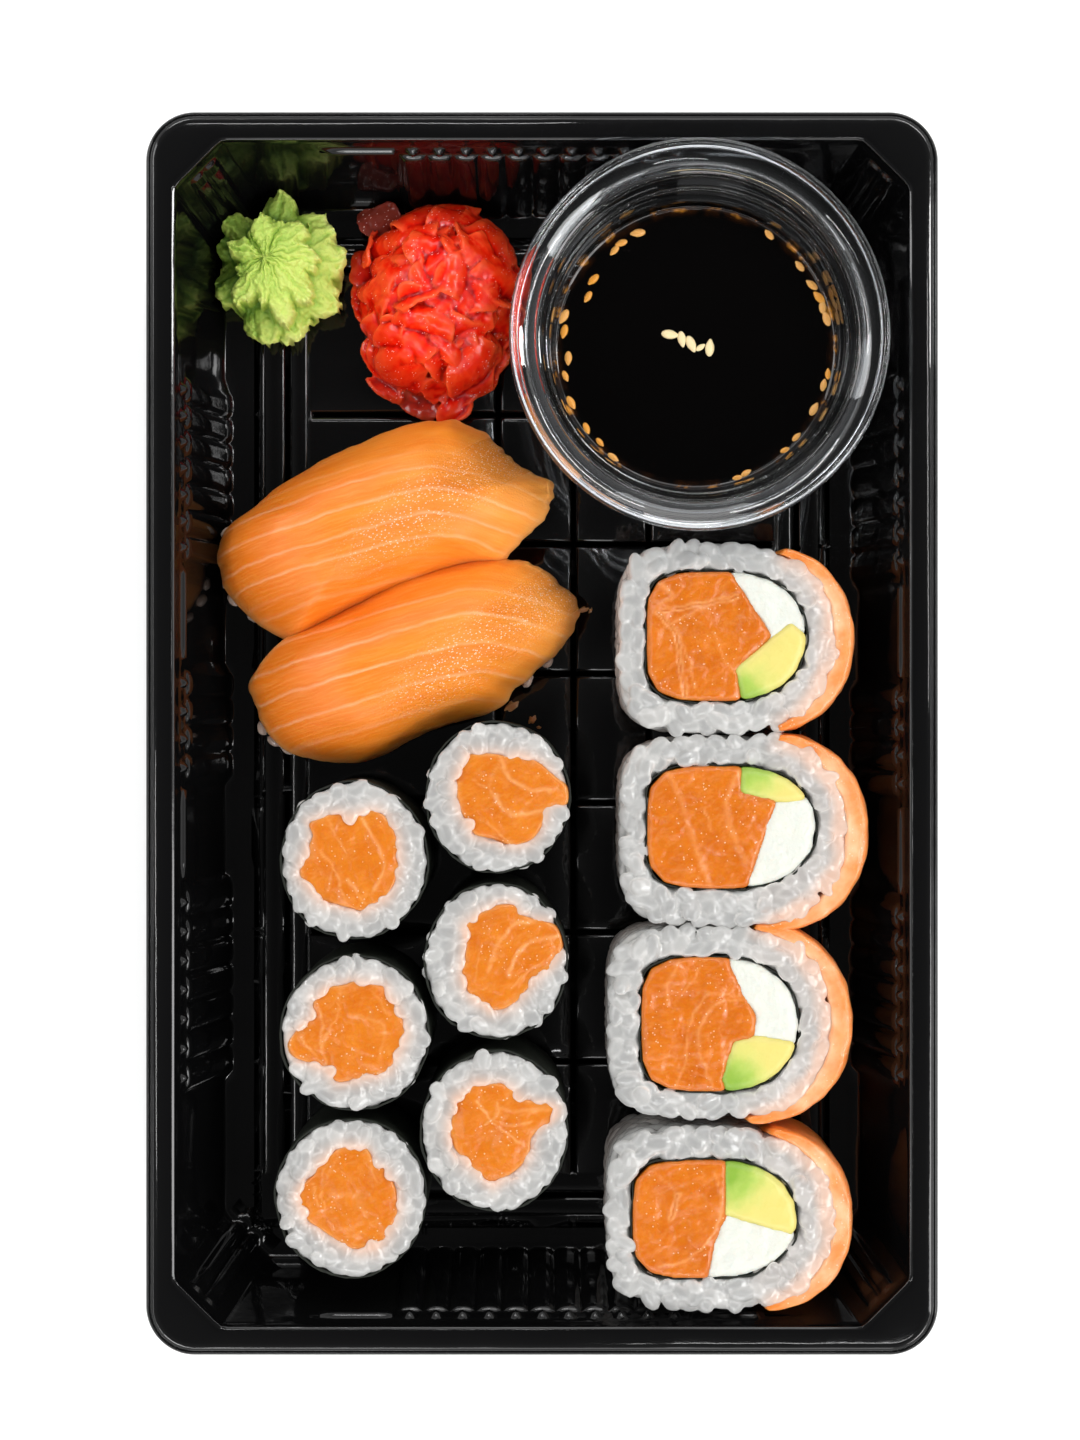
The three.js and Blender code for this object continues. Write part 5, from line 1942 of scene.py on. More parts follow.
@dataclass
class Maki:
    """A thin roll: nori round rice round a core of salmon.

    Attributes:
        number: which roll it is.
        middle: X and Y of its middle.
        half: its half sizes.
        core: outline of the salmon from the roll's middle.
        fat: lines of fat on the salmon with their width and strength.
        sides: points round the roll.
        sheet: thickness of the nori.
        rim_grains: grains of the even ring along the nori.
        most_grains: how many grains there are at most.
        clear: how far two loose grains stay apart.
    """

    number: int
    middle: Pair
    half: Pair
    core: Corners
    fat: Lines
    sides: int = 96
    sheet: float = 0.32
    rim_grains: int = 25
    most_grains: int = 150
    clear: float = 1.95

    def build(self) -> None:
        """Makes the nori, the rice and the salmon."""
        self.top = ROLL_TOP - 0.2 + 0.5 * math.sin(self.number * 1.9)
        self.angles = even_angles(self.sides)
        self.core_line = rounded_line(self.core, True, 6) + np.array(self.middle)
        self.nori()
        self.rice()
        self.salmon()

    def edge(self, inset: float, z: float | Array) -> Array:
        """Returns the roll's outline, moved inwards, at a height."""
        wobble = 0.12 * np.sin(self.angles * 3 + self.number)
        wobble += 0.08 * np.sin(self.angles * 7 + self.number * 2)
        return around(self.middle, self.angles, tuple(half - inset + wobble for half in self.half), z)

    def nori(self) -> None:
        """Makes the thin sheet round the roll."""
        top = self.top - 0.7 + 0.25 * Ripple(3.0, 20 + self.number).at(self.edge(0, 0))
        levels = [FOOD_BOTTOM + (top - FOOD_BOTTOM) * share for share in np.linspace(0, 1, 14)]
        rings = [self.edge(0, z) for z in levels] + [self.edge(self.sheet, z) for z in levels[::-1]]
        sheet = ring_body(f"maki_{self.number}_sheet", rings)
        points = points_of(sheet)
        away = (points - (*self.middle, 0)) * (1, 1, 0)
        away /= np.linalg.norm(away, axis=1)[:, None]
        shape(sheet, points + away * (0.12 * Ripple(2.4, 60 + self.number).at(points))[:, None])
        dress(sheet, Slot.NORI, NORI, f"maki_{self.number}_nori")

    def core_reach(self, angles: float | Array) -> float | Array:
        """Returns how far the salmon reaches from the roll's middle in each direction."""
        away = self.core_line - np.array(self.middle)
        own = np.arctan2(away[:, 1], away[:, 0])
        order = np.argsort(own)
        return np.interp(angles, own[order], np.linalg.norm(away, axis=1)[order], period=FULL_TURN)

    def spot(self, angle: float, radius: float) -> Pair:
        """Returns X and Y of a place on the cut face."""
        return self.middle[0] + radius * math.cos(angle), self.middle[1] + radius * math.sin(angle)

    def rice(self) -> None:
        """Makes the ring of rice: a body under a coat of grains."""
        name = f"maki_{self.number}"
        reach = np.clip(self.core_reach(self.angles) - 0.9, 2, min(self.half) - 2.6)
        inner = around(self.middle, self.angles, (reach, reach), self.top - 0.9)
        inner_foot = around(self.middle, self.angles, (reach, reach), FOOD_BOTTOM + 0.2)
        outer = self.edge(self.sheet + 0.25, 0)
        flat = self.edge(self.sheet + 0.9, self.top - 0.75)
        rings = [outer + (0, 0, FOOD_BOTTOM + 0.2), outer + (0, 0, self.top - 1.2), flat]
        body = ring_body(f"{name}_rice_body", [*rings, (flat + inner) / 2 + (0, 0, 0.3), inner, inner_foot])
        points = points_of(body)
        shape(body, points + (0, 0, 1) * (0.16 * Ripple(2.2, self.number).at(points))[:, None])
        grains = self.grains()
        coat = rice_grains(f"{name}_grains", grains, 300 + self.number)
        whole = pressed_rice([coat, body], grains, f"{name}_rice_ring", 0.26)
        x, y = (points_of(whole)[:, :2] - self.middle).T
        beyond = np.clip(np.hypot(x, y) - self.core_reach(np.arctan2(y, x)) + 0.3, 0, None)
        paint(whole, "tint", 0.6 * np.exp(-((beyond / 1.5) ** 1.5)))
        dress(whole, Slot.RICE, RICE, f"{name}_rice")

    def grain(self, random: Random, angle: float, radius: float, drop: float, spread: float) -> Grain:
        """Lays one grain on the cut face.

        Args:
            random: the source of random draws.
            angle: its direction from the roll's middle.
            radius: its distance from there.
            drop: how far it lies under the roll's top.
            spread: how unevenly it is turned.

        Returns:
            The grain.
        """
        slope = math.pi / 2 + random.normal(0, spread)
        along = heading(angle + slope, random.normal(0, 0.3))
        out = np.array([math.cos(angle) * 0.15, math.sin(angle) * 0.15, 1.0])
        half = random.uniform(1.8, 2.6)
        place = np.array([*self.spot(angle, radius), self.top - drop + random.normal(0, 0.2)])
        size = (half, random.uniform(1.35, 1.65), 0.85)
        return Grain(place, along, out / np.linalg.norm(out), size)

    def grains(self) -> list[Grain]:
        """Lays a coat of grains, an even ring along the nori and looser ones inside it.

        Returns:
            The grains.
        """
        random = np.random.default_rng(500 + self.number)
        made: list[Grain] = []
        for k in range(self.rim_grains):
            angle = (k + random.uniform(-0.2, 0.2)) / self.rim_grains * FULL_TURN
            limit = math.hypot(self.half[0] * math.cos(angle), self.half[1] * math.sin(angle))
            radius = limit - self.sheet - 1.3 + random.uniform(-0.25, 0.1)
            if self.core_reach(angle) < radius - 0.6:
                made.append(self.grain(random, angle, radius, 0.95, 0.6))
        for _ in range(3600):
            if len(made) >= self.most_grains:
                break
            angle = random.uniform(0, FULL_TURN)
            limit = math.hypot(self.half[0] * math.cos(angle), self.half[1] * math.sin(angle)) - 2.6
            low = float(self.core_reach(angle)) + 0.75
            if low > limit:
                continue
            radius = math.sqrt(random.uniform(low**2, limit**2))
            spot = np.array(self.spot(angle, radius))
            if min(math.hypot(*(grain.place[:2] - spot)) for grain in made) >= self.clear:
                made.append(self.grain(random, angle, radius, 0.7, 1.1))
        return made

    def salmon(self) -> None:
        """Makes the core of salmon with its lines of fat."""
        line = rounded_line(self.core, True, 12)
        plan = line[np.linspace(0, len(line), 120, endpoint=False).astype(int)] * 1.05
        centre = plan.mean(axis=0)
        rings = [(0.0, FOOD_BOTTOM), (0.6, FOOD_BOTTOM), (0.98, FOOD_BOTTOM + 0.2), (1.0, 8), (1.0, 16)]
        rings += [(1.0, self.top - 1.8), (0.985, self.top - 0.9)]
        for reach in np.linspace(0.95, 0.0, 34):
            rings.append((reach, self.top - 0.42 + 0.42 * (1 - reach**4)))
        made = []
        for reach, z in rings:
            flat = centre + (plan - centre) * reach + np.array(self.middle)
            made.append(np.column_stack([flat, np.full(len(flat), z)]))
        core = solid_body(f"maki_{self.number}_core", made)
        points = points_of(core)
        lift = smooth_step(self.top - 3, self.top - 1, points[:, 2])
        uneven = 0.22 * Ripple(5.0, 80 + self.number).at(points)
        uneven += 0.09 * Ripple(1.6, 90 + self.number).at(points)
        local = shaken(points - (*self.middle, 0), 0.22, 2.0, 30, 2)
        rim = distance_to_line(local, np.vstack([plan, plan[:1]]))
        fat = np.maximum(fat_lines(local, self.fat), 0.5 * ridge(rim, 0.8))
        points[:, 2] += lift * (uneven + 0.14 * fat)
        shape(core, points)
        paint(core, "fat", fat)
        dress(core, Slot.SALMON, SALMON, f"maki_{self.number}_salmon")


# ---------------------------------------------------------------- uramaki


@dataclass
class Uramaki:
    """An inside-out roll: rice round nori round salmon, cheese and avocado, with a slice outside.

    Attributes:
        number: which roll it is.
        rice: X, Y and half sizes of the rice.
        hole: X, Y and half sizes of the nori.
        drape: first and last angle of the slice in degrees, and its thickness.
        skin_side: place on the avocado that lay next to its skin.
        fat: lines of fat on the salmon with their width and strength.
        cuts: lines where pieces of salmon meet.
        narrow: how much the foot is narrower than the cut face along Y.
        lean: how far the foot lies up the tray.
        squareness: how square the outline is on the left and on the right, 2 for a round one.
        sides: points round the roll.
        clear: how far two loose grains stay apart.
    """

    number: int
    rice: tuple[float, float, float, float]
    hole: tuple[float, float, float, float]
    drape: Triple
    skin_side: Pair
    fat: Lines
    cuts: Sequence[Corners] = ()
    narrow: float = 0.03
    lean: float = 0.0
    squareness: Pair = (4.6, 2.2)
    sides: int = 120
    clear: float = 1.9

    def outline(self, angle: Array, sizes: tuple, grow: float | Array) -> Array:
        """Reads the squarish outline of the roll.

        Args:
            angle: directions in radians.
            sizes: X, Y and half sizes of the outline.
            grow: how much larger it is made.

        Returns:
            X and Y of its points.
        """
        cos, sin = np.cos(angle), np.sin(angle)
        power = np.where(cos < 0, *self.squareness)
        x, y = np.abs(cos / (sizes[2] + grow)), np.abs(sin / (sizes[3] + grow))
        reach = (x**power + y**power) ** (-1 / power)
        return np.column_stack([sizes[0] + reach * cos, sizes[1] + reach * sin])

    def spot(self, angle: float, sizes: tuple, grow: float) -> Array:
        """Returns X and Y of the outline in one direction."""
        return self.outline(np.array([angle]), sizes, grow)[0]

    def settled(self, points: Array) -> Array:
        """Moves points as the roll stands on its foot.

        Args:
            points: places on an upright roll.

        Returns:
            The moved points.
        """
        depth = 1 - (points[:, 2] - FOOD_BOTTOM) / (ROLL_TOP - FOOD_BOTTOM)
        middle = self.rice[1]
        made = points.copy()
        made[:, 1] = middle + (points[:, 1] - middle) * (1 - self.narrow * depth) + self.lean * depth
        return made

    def build(self) -> None:
        """Makes all pieces of the roll."""
        self.rice_coat()
        self.nori()
        self.salmon()
        self.cheese()
        self.avocado()
        self.slice()

    def ring(self, sizes: tuple, grow: float, z: float) -> Array:
        """Returns one closed ring of the roll at a height."""
        return np.column_stack([self.outline(even_angles(self.sides), sizes, grow), np.full(self.sides, z)])

    def covered(self, degrees: Array | float) -> Array | float:
        """Returns how far inside the slice's stretch an angle from -180 to 180 lies, in degrees."""
        return np.minimum(degrees - self.drape[0], self.drape[1] - degrees)

    def rice_coat(self) -> None:
        """Makes the thick ring of rice with grains on its top and its sides."""
        name = f"uramaki_{self.number}"
        outer = [(-1.6, FOOD_BOTTOM + 0.1), (-1.1, FOOD_BOTTOM + 1.2), (-1.0, 12.0), (-0.9, ROLL_TOP - 2.0)]
        outer += [(-1.6, ROLL_TOP - 1.0), (-3.0, ROLL_TOP - 0.5)]
        inner = [(0.9, ROLL_TOP - 0.6), (0.2, ROLL_TOP - 1.3), (0.2, FOOD_BOTTOM + 0.1)]
        rings = [self.ring(self.rice, *at) for at in outer] + [self.ring(self.hole, *at) for at in inner]
        body = ring_body(f"{name}_rice_body", rings)
        points = points_of(body)
        shape(body, self.settled(points))
        along_normals(body, 0.12 * Ripple(2.4, self.number).at(points))
        grains = self.top_grains() + self.side_grains()
        places = self.settled(np.array([grain.place for grain in grains]))
        for grain, place in zip(grains, places):
            grain.place = place
        coat = rice_grains(f"{name}_grains", grains, 700 + self.number)
        whole = pressed_rice([coat, body], grains, f"{name}_rice_coat", 0.31)
        paint(whole, "tint", self.tint(points_of(whole)))
        dress(whole, Slot.RICE, RICE, f"{name}_rice")

    def tint(self, points: Array) -> Array:
        """Measures how much the rice takes on the colour of the slice beside it.

        Args:
            points: the rice's vertices.

        Returns:
            The share for each vertex.
        """
        x, y = (points[:, :2] - self.rice[:2]).T
        angle = np.arctan2(y, x)
        border = np.hypot(*(self.outline(angle, self.rice, 0) - self.rice[:2]).T)
        beyond = np.hypot(x, y) - border
        inside = self.covered(np.degrees(angle))
        wander = 0.7 * Ripple(6.0, 31 + self.number).at(points)
        close = 0.06 + 0.5 * smooth_step(-2.6, 0.4, beyond + wander)
        low = 0.16 * smooth_step(22.0, 8.0, points[:, 2]) * smooth_step(-1.5, 0.0, beyond)
        return np.maximum(close * smooth_step(-4, 16, inside), low)

    def top_grain(self, random: Random, angle: float, spot: Array, drop: float, spread: float) -> Grain:
        """Lays one grain on the cut face.

        Args:
            random: the source of random draws.
            angle: its direction from the roll's middle.
            spot: its X and Y.
            drop: how far it lies under the roll's top.
            spread: how unevenly it is turned.

        Returns:
            The grain.
        """
        slope = angle + math.pi / 2 + random.normal(0, spread)
        along = heading(slope, random.normal(0, 0.3))
        out = np.array([0.2 * math.cos(angle), 0.2 * math.sin(angle), 1.0])
        size = (random.uniform(1.9, 2.7), random.uniform(1.35, 1.7), 0.9)
        place = np.array([*spot, ROLL_TOP - drop + random.normal(0, 0.24)])
        return Grain(place, along, out / np.linalg.norm(out), size)

    def top_grains(self) -> list[Grain]:
        """Lays grains on the cut face, even along both borders and loose between them.

        Returns:
            The grains.
        """
        random = np.random.default_rng(800 + self.number)
        made: list[Grain] = []
        rows = [(self.rice, -1.3, 1.15, 0.45, 33), (self.hole, 1.3, 0.8, 0.45, 26)]
        rows.append((self.rice, 0.35, 1.35, 0.6, 46))
        for number, (sizes, grow, drop, spread, count) in enumerate(rows):
            for k in range(count):
                angle = (k + random.uniform(-0.25, 0.25)) / count * FULL_TURN
                if number < 2 or self.covered(self.signed_degrees(angle)) > 6:
                    made.append(self.top_grain(random, angle, self.spot(angle, sizes, grow), drop, spread))
        for _ in range(2600):
            angle = random.uniform(0, FULL_TURN)
            far, near = self.spot(angle, self.rice, -2.2), self.spot(angle, self.hole, 1.6)
            spot = near + (far - near) * random.uniform(0, 1)
            if min(math.hypot(*(grain.place[:2] - spot)) for grain in made) > self.clear:
                made.append(self.top_grain(random, angle, spot, 0.55, 1.1))
        return made

    @staticmethod
    def signed_degrees(angle: float) -> float:
        """Returns an angle in degrees, from -180 to 180."""
        return (math.degrees(angle) + 180) % 360 - 180

    def side_grains(self) -> list[Grain]:
        """Lays grains on the standing sides where no slice covers them.

        Returns:
            The grains.
        """
        random = np.random.default_rng(900 + self.number)
        made = []
        dense = np.linspace(0, FULL_TURN, 400)
        line = self.outline(dense, self.rice, -0.95)
        run = np.concatenate([[0], np.cumsum(np.linalg.norm(np.diff(line, axis=0), axis=1))])
        for level, z in enumerate(np.arange(3.0, ROLL_TOP - 2.0, 2.75)):
            for at in np.arange(level % 2 * 1.9, run[-1], 3.7):
                angle = float(np.interp((at + random.uniform(-0.5, 0.5)) % run[-1], run, dense))
                if self.covered(self.signed_degrees(angle)) > 9:
                    continue
                pair = self.outline(np.array([angle - 0.02, angle + 0.02]), self.rice, -0.95)
                ahead = np.append((pair[1] - pair[0]) / np.linalg.norm(pair[1] - pair[0]), 0)
                out = np.array([ahead[1], -ahead[0], 0.0])
                slope = random.normal(0, 0.6)
                along = ahead * math.cos(slope) + np.array([0, 0, math.sin(slope)])
                place = np.array([*self.spot(angle, self.rice, -1.0), z + random.normal(0, 0.3)])
                size = (random.uniform(1.8, 2.6), random.uniform(1.2, 1.45), 1.15)
                made.append(Grain(place, along, out, size))
        return made

    def nori(self) -> None:
        """Makes the thin sheet between the rice and the filling."""
        angle = even_angles(self.sides)
        wave = 0.14 * np.sin(angle * 9 + self.number) + 0.1 * np.sin(angle * 17 + self.number * 3)
        top = ROLL_TOP - 0.1 + 0.2 * np.sin(angle * 6 + self.number * 2)
        line = self.outline(angle, self.hole, 0)
        out = np.column_stack([np.cos(angle), np.sin(angle)])
        rings = []
        for grow, heights in ((0.14, (FOOD_BOTTOM, 13.0, top)), (-0.16, (top, 13.0, FOOD_BOTTOM))):
            plan = line + out * (grow + wave)[:, None]
            rings += [np.column_stack([plan, np.zeros(self.sides) + z]) for z in heights]
        sheet = ring_body(f"uramaki_{self.number}_sheet", rings)
        shape(sheet, self.settled(points_of(sheet)))
        dress(sheet, Slot.NORI, NORI, f"uramaki_{self.number}_nori")

    def body_from(self, part: str, voxel: float) -> Item:
        """Returns a softened copy of one of the roll's CAD solids."""
        name = f"uramaki_{self.number}_{part}"
        return one_skin(copy_of_solid(f"{name}_piece", name), voxel, 4)

    def salmon(self) -> None:
        """Makes the salmon of the filling."""
        item = self.body_from("salmon", 0.34)
        along_normals(item, np.full(len(item.data.vertices), 0.62))
        points = points_of(item)
        up = smooth_step(0.3, 0.8, normals_of(item)[:, 2]) * smooth_step(20, 24, points[:, 2])
        local = shaken(points, 0.25, 2.2, 40, 2)
        fat, cut = fat_lines(local, self.fat), np.zeros(len(points))
        for corners in self.cuts:
            gap = distance_to_curve(local, corners)
            cut = np.maximum(cut, ridge(gap, 0.2))
            fat = np.maximum(fat, 0.8 * ridge(gap - 0.35, 0.25))
        uneven = 0.3 * Ripple(6.0, 50 + self.number).at(points)
        uneven += 0.12 * Ripple(1.7, 60 + self.number).at(points)
        points[:, 2] += up * (uneven + 0.2 * fat - 0.25 * cut)
        shape(item, points)
        paint(item, "fat", fat * up)
        dress(item, Slot.SALMON, DEEP_SALMON, f"uramaki_{self.number}_salmon")

    def cheese(self) -> None:
        """Makes the cream cheese."""
        cheese = self.body_from("cream_cheese", 0.42)
        along_normals(cheese, 0.6 + 0.16 * Ripple(4.0, 70 + self.number).at(points_of(cheese)))
        dress(cheese, Slot.CHEESE, CreamCheese("soft_cheese"), f"uramaki_{self.number}_cream_cheese")

    def avocado(self) -> None:
        """Makes the avocado, greener towards its skin."""
        stick = self.body_from("avocado", 0.42)
        points = points_of(stick)
        along_normals(stick, 0.6 + 0.1 * Ripple(3.0, 75 + self.number).at(points))
        away = np.hypot(points[:, 0] - self.skin_side[0], points[:, 1] - self.skin_side[1])
        paint(stick, "green", 1 - smooth_step(0.5, 10.5, away))
        dress(stick, Slot.AVOCADO, RipeAvocado("ripe_avocado"), f"uramaki_{self.number}_avocado")

    def slice(self) -> None:
        """Makes the slice of salmon laid round the roll's right side."""
        first, last, thick = self.drape
        item, u, v = grid(f"uramaki_{self.number}_wrap", 96, 40)
        angle = np.radians(first + (last - first) * u)
        full = thick * np.sin(np.pi * (0.02 + 0.96 * u)) ** 0.6
        low = FOOD_BOTTOM + 0.8 + 0.5 * np.sin(u * 14)
        high = ROLL_TOP - 0.35 + 0.35 * np.sin(u * 11 + self.number)
        turn = v * FULL_TURN
        across, upward = (np.sign(side) * np.abs(side) ** 0.38 for side in (np.cos(turn), np.sin(turn)))
        beyond = 0.45 * np.sin(np.pi * u) + full / 2 + across * full / 2
        ends = np.clip(np.sin(np.pi * u) * 9, 0.0, 1) ** 0.5
        z = (low + high) / 2 + upward * (high - low) / 2 * ends
        points = np.column_stack([self.outline(angle, self.rice, beyond * ends), z])
        points = shaken(self.settled(points), 0.14, 4.0, 44 + self.number)
        shape(item, points)
        thin = smooth_step(-0.75, 0.65, -across + 0.5 * Ripple(6.0, 61 + self.number).at(points))
        top = smooth_step(-0.2, 0.6, upward) * smooth_step(0.05, 0.25, 0.5 - np.abs(u - 0.5))
        side = ridge(np.sin(z * 0.55 + u * 4), 0.25) * (across > 0.9)
        paint(item, "fat", np.maximum((0.25 + 1.1 * thin) * top, 0.35 * side))
        close_seams(item)
        dress(item, Slot.SALMON, PALE_SALMON, f"uramaki_{self.number}_salmon_slice")


# ---------------------------------------------------------------- nigiri


@dataclass
class Nigiri:
    """A slice of salmon over a pat of rice.

    Attributes:
        number: which nigiri it is.
        middle: X and Y of its middle.
        half: half length and half width.
        top: its highest point.
        levels: fat lines, each with Y at the crest, width and strength.
        crest_x: where along X the lines are highest.
        outline: the slice's outline from its middle.
        press: side on which the other nigiri presses, 1 up the tray and -1 down it.
        stray: grains that peek out: X, Y, Z and heading in degrees.
        turn: direction of its length in degrees.
        thick: thickness of the slice.
    """

    number: int
    middle: Pair
    half: Pair
    top: float
    levels: Sequence[Triple]
    crest_x: float
    outline: Corners
    press: float = 0.0
    stray: tuple[tuple[float, float, float, float], ...] = ()
    turn: float = 25.0
    thick: float = 3.6

    def place(self, angle: Array, reach: Array | float, z: Array | float, inset: float) -> Array:
        """Lays points over the plan.

        Args:
            angle: their directions from the middle.
            reach: how far out they lie, from the middle (0) to the edge (1).
            z: their height.
            inset: how much smaller the plan is made.

        Returns:
            The points.
        """
        turn = math.radians(self.turn)
        turned_back = np.array([[math.cos(turn), math.sin(turn)], [-math.sin(turn), math.cos(turn)]])
        line = rounded_line(self.outline, True, 6) @ turned_back.T / self.half
        own = np.arctan2(line[:, 1], line[:, 0])
        order = np.argsort(own)
        far = np.interp(angle, own[order], np.linalg.norm(line, axis=1)[order], period=FULL_TURN)
        length, width = self.half[0] - inset, self.half[1] - inset
        plan = np.column_stack([far * reach * length * np.cos(angle), far * reach * width * np.sin(angle)])
        plan = plan @ turned_back + np.array(self.middle)
        return np.column_stack([plan, np.zeros(len(plan)) + z])

    def build(self) -> None:
        """Makes the slice and its rice."""
        self.slice()
        self.rice()

    def pressed(self, angle: Array) -> Array:
        """Returns how hard the other nigiri presses in each direction, from 0 to 1."""
        return smooth_step(0.1, 0.9, self.press * np.sin(angle)) * smooth_step(-0.95, -0.5, np.cos(angle))

    def arch(self, angle: Array, reach: Array, top: float, lift: float) -> Array:
        """Measures the height of the slice's upper or lower face.

        Args:
            angle: directions from the middle.
            reach: how far out, from 0 to 1.
            top: the face's highest point.
            lift: how much higher its edge lies than the slice's lower edge.

        Returns:
            One height for each place.
        """
        low = 5.2 + 1.3 * np.cos(angle) ** 2 + lift + 8.5 * self.pressed(angle)
        top = top - 5.0 * smooth_step(0.3, 1.1, reach * np.cos(angle))
        return low + (top - low) * np.clip(1 - reach**2.7, 0, 1) ** (1 / 1.9)

    def slice(self) -> None:
        """Makes the slice of salmon with its thin uneven edge."""
        upper, lower = 70, 24
        item, u, v = grid(f"nigiri_{self.number}_slice", 200, upper + lower)
        angle, row = u * FULL_TURN, v * (upper + lower)
        over = row >= lower
        up, down = np.clip((row - lower) / upper, 0, 1), np.clip(row / lower, 0, 1)
        reach = np.where(over, np.cos(up * math.pi / 2) ** 0.8, np.sin(down * math.pi / 2))
        z = np.where(
            over,
            self.arch(angle, reach, self.top, 0.4),
            self.arch(angle, reach, self.top - self.thick, 0.0),
        )
        share = np.where(over, 0.0, 1 - smooth_step(0.9, 1.0, down))[:, None]
        inner = self.place(angle, reach, z, self.thick * 0.8)
        points = self.place(angle, reach, z, 0.0) * (1 - share) + inner * share
        circle = around((0, 0), angle, (30, 14), 0)
        cut_end = smooth_step(0.3, 0.75, np.cos(angle))
        serrate = (0.1 + 0.3 * cut_end) * Ripple(2.6, 100 + self.number).at(circle)
        serrate += 0.12 * Ripple(7.0, 110 + self.number).at(circle)
        away = (points - (*self.middle, 0)) * (1, 1, 0)
        away /= np.linalg.norm(away, axis=1)[:, None] + 1e-6
        points += away * (smooth_step(0.82, 1.0, reach) * (serrate + 1.1 * self.pressed(angle)))[:, None]
        points[:, 2] += 0.2 * Ripple(9.0, 120 + self.number).at(points) * (reach < 0.97)
        shape(item, points)
        cos, sin = math.cos(math.radians(self.turn)), math.sin(math.radians(self.turn))
        x, y = (points[:, :2] - self.middle).T
        along, across = x * cos + y * sin, -x * sin + y * cos
        wet = smooth_step(-16, 6, along) * ridge(across + 5.2 - along * 0.2, 5.0)
        # The wet zone lowers the roughness, adds wet bumps and places the painted glints.
        paint(item, "wet", np.clip(wet + 0.12, 0, 1))
        # Painted light: the edge attribute paints the rim a lighter orange.
        paint(item, "edge", 0.6 * smooth_step(0.93, 1.0, reach) * over)
        close_seams(item)
        finish = NigiriSalmon(f"nigiri_salmon_{self.number}", self.crest_x, self.levels)
        dress(item, Slot.SALMON, finish, f"nigiri_{self.number}_salmon")

    def grains(self, inset: float) -> list[Grain]:
        """Lays grains along the pat's edge and where some peek out.

        Args:
            inset: how far the pat lies inside the slice.

        Returns:
            The grains.
        """
        random = np.random.default_rng(40 + self.number)
        made, turns = [], 46
        for level, (height, reach) in enumerate(((2.6, 0.97), (4.9, 1.02), (7.0, 1.0))):
            for k in range(turns):
                spin = (k + 0.5 * (level % 2) + random.uniform(-0.3, 0.3)) / turns * FULL_TURN
                spot = self.place(np.array([spin]), reach, height, inset - 0.5)[0]
                ahead = self.place(np.array([spin + 0.05]), reach, height, inset - 0.5)[0] - spot
                ahead /= np.linalg.norm(ahead)
                out = np.array([ahead[1], -ahead[0], 0.3])
                slope = random.normal(0, 0.6)
                along = ahead * math.cos(slope) + np.array([0, 0, math.sin(slope)])
                spot = spot + out * random.uniform(-0.9, 0.1)
                size = (random.uniform(1.6, 2.3), 1.3, 1.1)
                made.append(Grain(spot, along, out / np.linalg.norm(out), size))
        for x, y, z, degrees in self.stray:
            along = np.array([math.cos(math.radians(degrees)), math.sin(math.radians(degrees)), 0.1])
            made.append(Grain(np.array([x, y, z]), along, np.array([0, 0, 1.0]), (1.4, 0.95, 0.8)))
        return made

    def rice(self) -> None:
        """Makes the pat of rice with grains that peek out along the edge."""
        name = f"nigiri_{self.number}"
        inset = self.thick * 0.8 + 0.7
        angle = even_angles(72)
        under = self.top - self.thick - 0.9
        rings = [(0.0, FOOD_BOTTOM), (0.9, FOOD_BOTTOM), (0.99, FOOD_BOTTOM + 1.6)]
        for reach in (0.96, 0.88, 0.76, 0.6, 0.4, 0.2, 0.0):
            rings.append((reach, max(under * (1 - reach**3) ** (1 / 1.7) - 0.8, 4.2)))
        body = solid_body(f"{name}_rice_body", [self.place(angle, *at, inset) for at in rings])
        grains = self.grains(inset)
        coat = rice_grains(f"{name}_grains", grains, 50 + self.number)
        whole = pressed_rice([coat, body], grains, f"{name}_rice_pat", 0.4)
        paint(whole, "tint", 0.5)
        dress(whole, Slot.RICE, RICE, f"{name}_rice")


@dataclass
class Crumbs:
    """Scraps that lie loose on the floor beside the nigiri.

    Attributes:
        spots: X, Y, heading in degrees, half length and half width of each scrap.
    """

    spots: tuple = (
        (7.6, 22.6, 20, 1.1, 0.5), (8.9, 22.4, 70, 0.6, 0.3), (-1.8, 2.4, 60, 1.0, 0.6),
        (-5.6, 4.9, 40, 1.6, 0.8), (-0.6, 1.0, 10, 0.5, 0.3),
    )  # fmt: skip

    def build(self) -> None:
        """Makes the scraps as one mesh of copies."""
        bpy.ops.object.select_all(action="DESELECT")
        bpy.ops.mesh.primitive_ico_sphere_add(subdivisions=3, radius=1)
        scrap = bpy.context.object
        ball = points_of(scrap) * MM
        shape(scrap, ball * (1 + 0.35 * Ripple(0.9, 12).at(ball))[:, None])
        frames = [turned(math.radians(at[2]), 0.0) * (at[3], at[4], 0.35) for at in self.spots]
        places = np.array([(at[0], at[1], FLOOR_TOP + 0.4) for at in self.spots])
        scraps = scattered("salmon_crumbs", scrap, np.array(frames), places)
        paint(scraps, "fat", 0.0)
        dress(scraps, Slot.SALMON, DRY_SALMON)


# ---------------------------------------------------------------- wasabi and ginger


